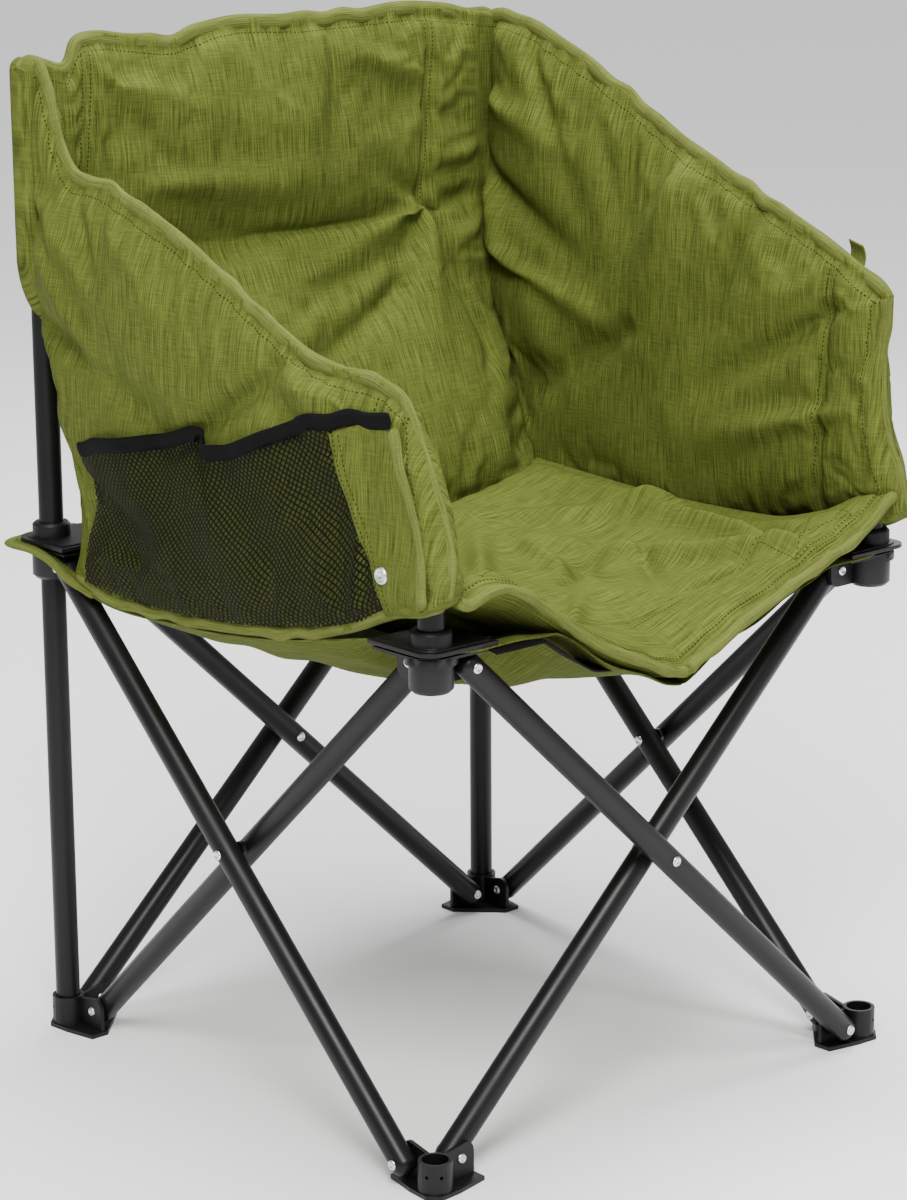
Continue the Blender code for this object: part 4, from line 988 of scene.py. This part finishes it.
def outer_face(target, sign, y, z):
    """Points at depths y and heights z, thrown sideways on to a piece's outer face, or left at the wall's
    plane where they miss it."""
    surface = BVHTree.FromObject(target, bpy.context.evaluated_depsgraph_get())
    places = np.empty(y.shape + (3,))
    for spot in np.ndindex(y.shape):
        hit = surface.ray_cast(Vector((sign * 0.40, y[spot], z[spot])), Vector((-sign, 0, 0)), 0.3)[0]
        places[spot] = (hit.x if hit else sign * WALL_FACE, y[spot], z[spot])
    return places


def on_left_wall(y, z, out):
    """Points on the left wall's outer face, or on its plane where the face lies deeper, raised by out."""
    places = outer_face(walls["left"], -1, y, z)
    places[..., 0] = np.minimum(places[..., 0], -WALL_FACE) - out
    return places


mouth = [(0.158, 0.511), (0.120, 0.520), (0.072, 0.530), (0.020, 0.541), (-0.006, 0.546), (-0.013, 0.535),
         (-0.030, 0.538), (-0.090, 0.560), (-0.130, 0.574), (-0.156, 0.580)]
floor_line = [(0.166, 0.398), (0.120, 0.394), (0.066, 0.394), (-0.034, 0.401), (-0.097, 0.411),
              (-0.140, 0.420), (-0.205, 0.440)]
rear_line = [(0.166, 0.398), (0.160, 0.430), (0.146, 0.465), (0.158, 0.511)]
front_line = [(-0.205, 0.440), (-0.178, 0.505), (-0.158, 0.556), (-0.156, 0.580)]
flat = coons(through(floor_line, 90), through(mouth, 90), through(rear_line, 36), through(front_line, 36))
y, z = flat[..., 0], flat[..., 1]
u, v = np.linspace(0, 1, 90)[None, :], np.linspace(0, 1, 36)[:, None]
slack = 0.0006 + 0.0115 * np.sin(math.pi * u) ** 0.7 * v**0.6 * (1 - 0.35 * v)
ripple = 0.0028 * np.sin(u * 21 + v * 5) * np.sin(math.pi * u) * np.sin(math.pi * np.clip(v * 0.9, 0, 1))
slack = slack + ripple
net = on_left_wall(y, z, slack)
travelled = np.stack([lengths(net, 1), lengths(net, 0)], -1)
pocket = shell("pocket_net", net - (0.0003, 0, 0), net + (0.0003, 0, 0), travelled, net_paint())
beyond = on_left_wall(np.array([-0.175, -0.195, -0.212]), np.array([0.583, 0.585, 0.586]), 0.0015)
path = np.concatenate([net[-1], beyond])
inward = np.concatenate([net[-4] - net[-1], np.tile((0.0, 0.0, -0.004), (3, 1))])
binding("pocket_tape", "wall_left", *evened(path, inward, 160, 1), 0.0062, 0.0017, webbing)
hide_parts("mesh_pocket")
sewn_to(pocket, "wall_left")


# ---- Sleeve flaps and snaps ----
# A flap covers the front of each arm's sleeve on the outer side, turned under along its rear edge and held
# at the foot by a zinc snap with a dimpled face.

for side, sign in (("left", -1), ("right", 1)):
    rise = 0 if side == "left" else 0.035
    bottom = through([(-0.203, 0.441), (-0.230, 0.444), (-0.257, 0.456)], 26)
    top = through([(-0.150, 0.566 + rise), (-0.180, 0.576 + rise), (-0.212, 0.578 + rise)], 26)
    rear = through([(-0.203, 0.441), (-0.172, 0.505), (-0.150, 0.566 + rise)], 46)
    front = through([(-0.257, 0.456), (-0.236, 0.515), (-0.212, 0.578 + rise)], 46)
    flat = coons(bottom, top, rear, front)
    y, z = flat[..., 0], flat[..., 1]
    places = outer_face(walls[side], sign, y, z)
    for _ in range(12):
        across = places[..., 0]
        across[1:-1] = (across[:-2] + 2 * across[1:-1] + across[2:]) / 4
        across[:, 1:-1] = (across[:, :-2] + 2 * across[:, 1:-1] + across[:, 2:]) / 4
    gap = edge_distance(places)
    lift = 0.0012 + 0.0022 * crown(gap, 0.003)
    outer, inner = places.copy(), places.copy()
    outer[..., 0] += sign * lift
    inner[..., 0] -= sign * 0.0004
    flap = shell(f"sleeve_flap_{side}", outer, inner, np.stack([y, z], -1), cloth)
    smooth_out(flap)
    sewn_to(flap, f"wall_{side}")
    path, inward = evened(places[:, -1] + (sign * 0.0012, 0, 0), places[:, -4] - places[:, -1], 60, 3)
    binding(f"flap_binding_{side}", f"wall_{side}", path, inward, 0.0050, 0.0030)
    for number, column in enumerate((2, 4)):
        stitches(f"flap_stitches_{side}_{number}", f"wall_{side}", flap, places[1:-1, column], (-sign, 0, 0))

    name = f"snap_{side}"
    low, high = (np.array(corner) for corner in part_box(name))
    middle = (low + high) / 2
    base = outer_face(flap, sign, middle[1:2], middle[2:3])[0, 0] - sign * 0.0012
    profile = [(0.0, 0.0), (0.0064, 0.0), (0.0067, 0.0012), (0.0064, 0.0026), (0.0056, 0.0033),
               (0.0047, 0.0033), (0.0042, 0.0028), (0.0034, 0.0026), (0.0026, 0.0029), (0.0016, 0.0024),
               (0.0, 0.0021)]
    snap = turned(f"{name}_turned", profile, (base, *middle[1:]), (base + sign * 0.005, *middle[1:]), zinc,
                  sides=40)
    stands_for(snap, name)


# ---- Tab ----
# A short loop of cloth tape at the back of the right arm's top edge.

u = np.linspace(0, 1, 12)[None, :]
v = np.linspace(0, 1, 10)[:, None]
y = -0.199 + 0.015 * u + 0 * v
z = 0.633 + 0.020 * v + 0.004 * u
x = 0.2545 + 0.0035 * np.sin(math.pi * v) + 0 * u
face = np.stack([x, y, z], -1)
tab = shell("arm_tab", face + (0.0008, 0, 0), face - (0.0008, 0, 0), np.stack([y, z], -1), tape)
sewn_to(tab, "wall_right")
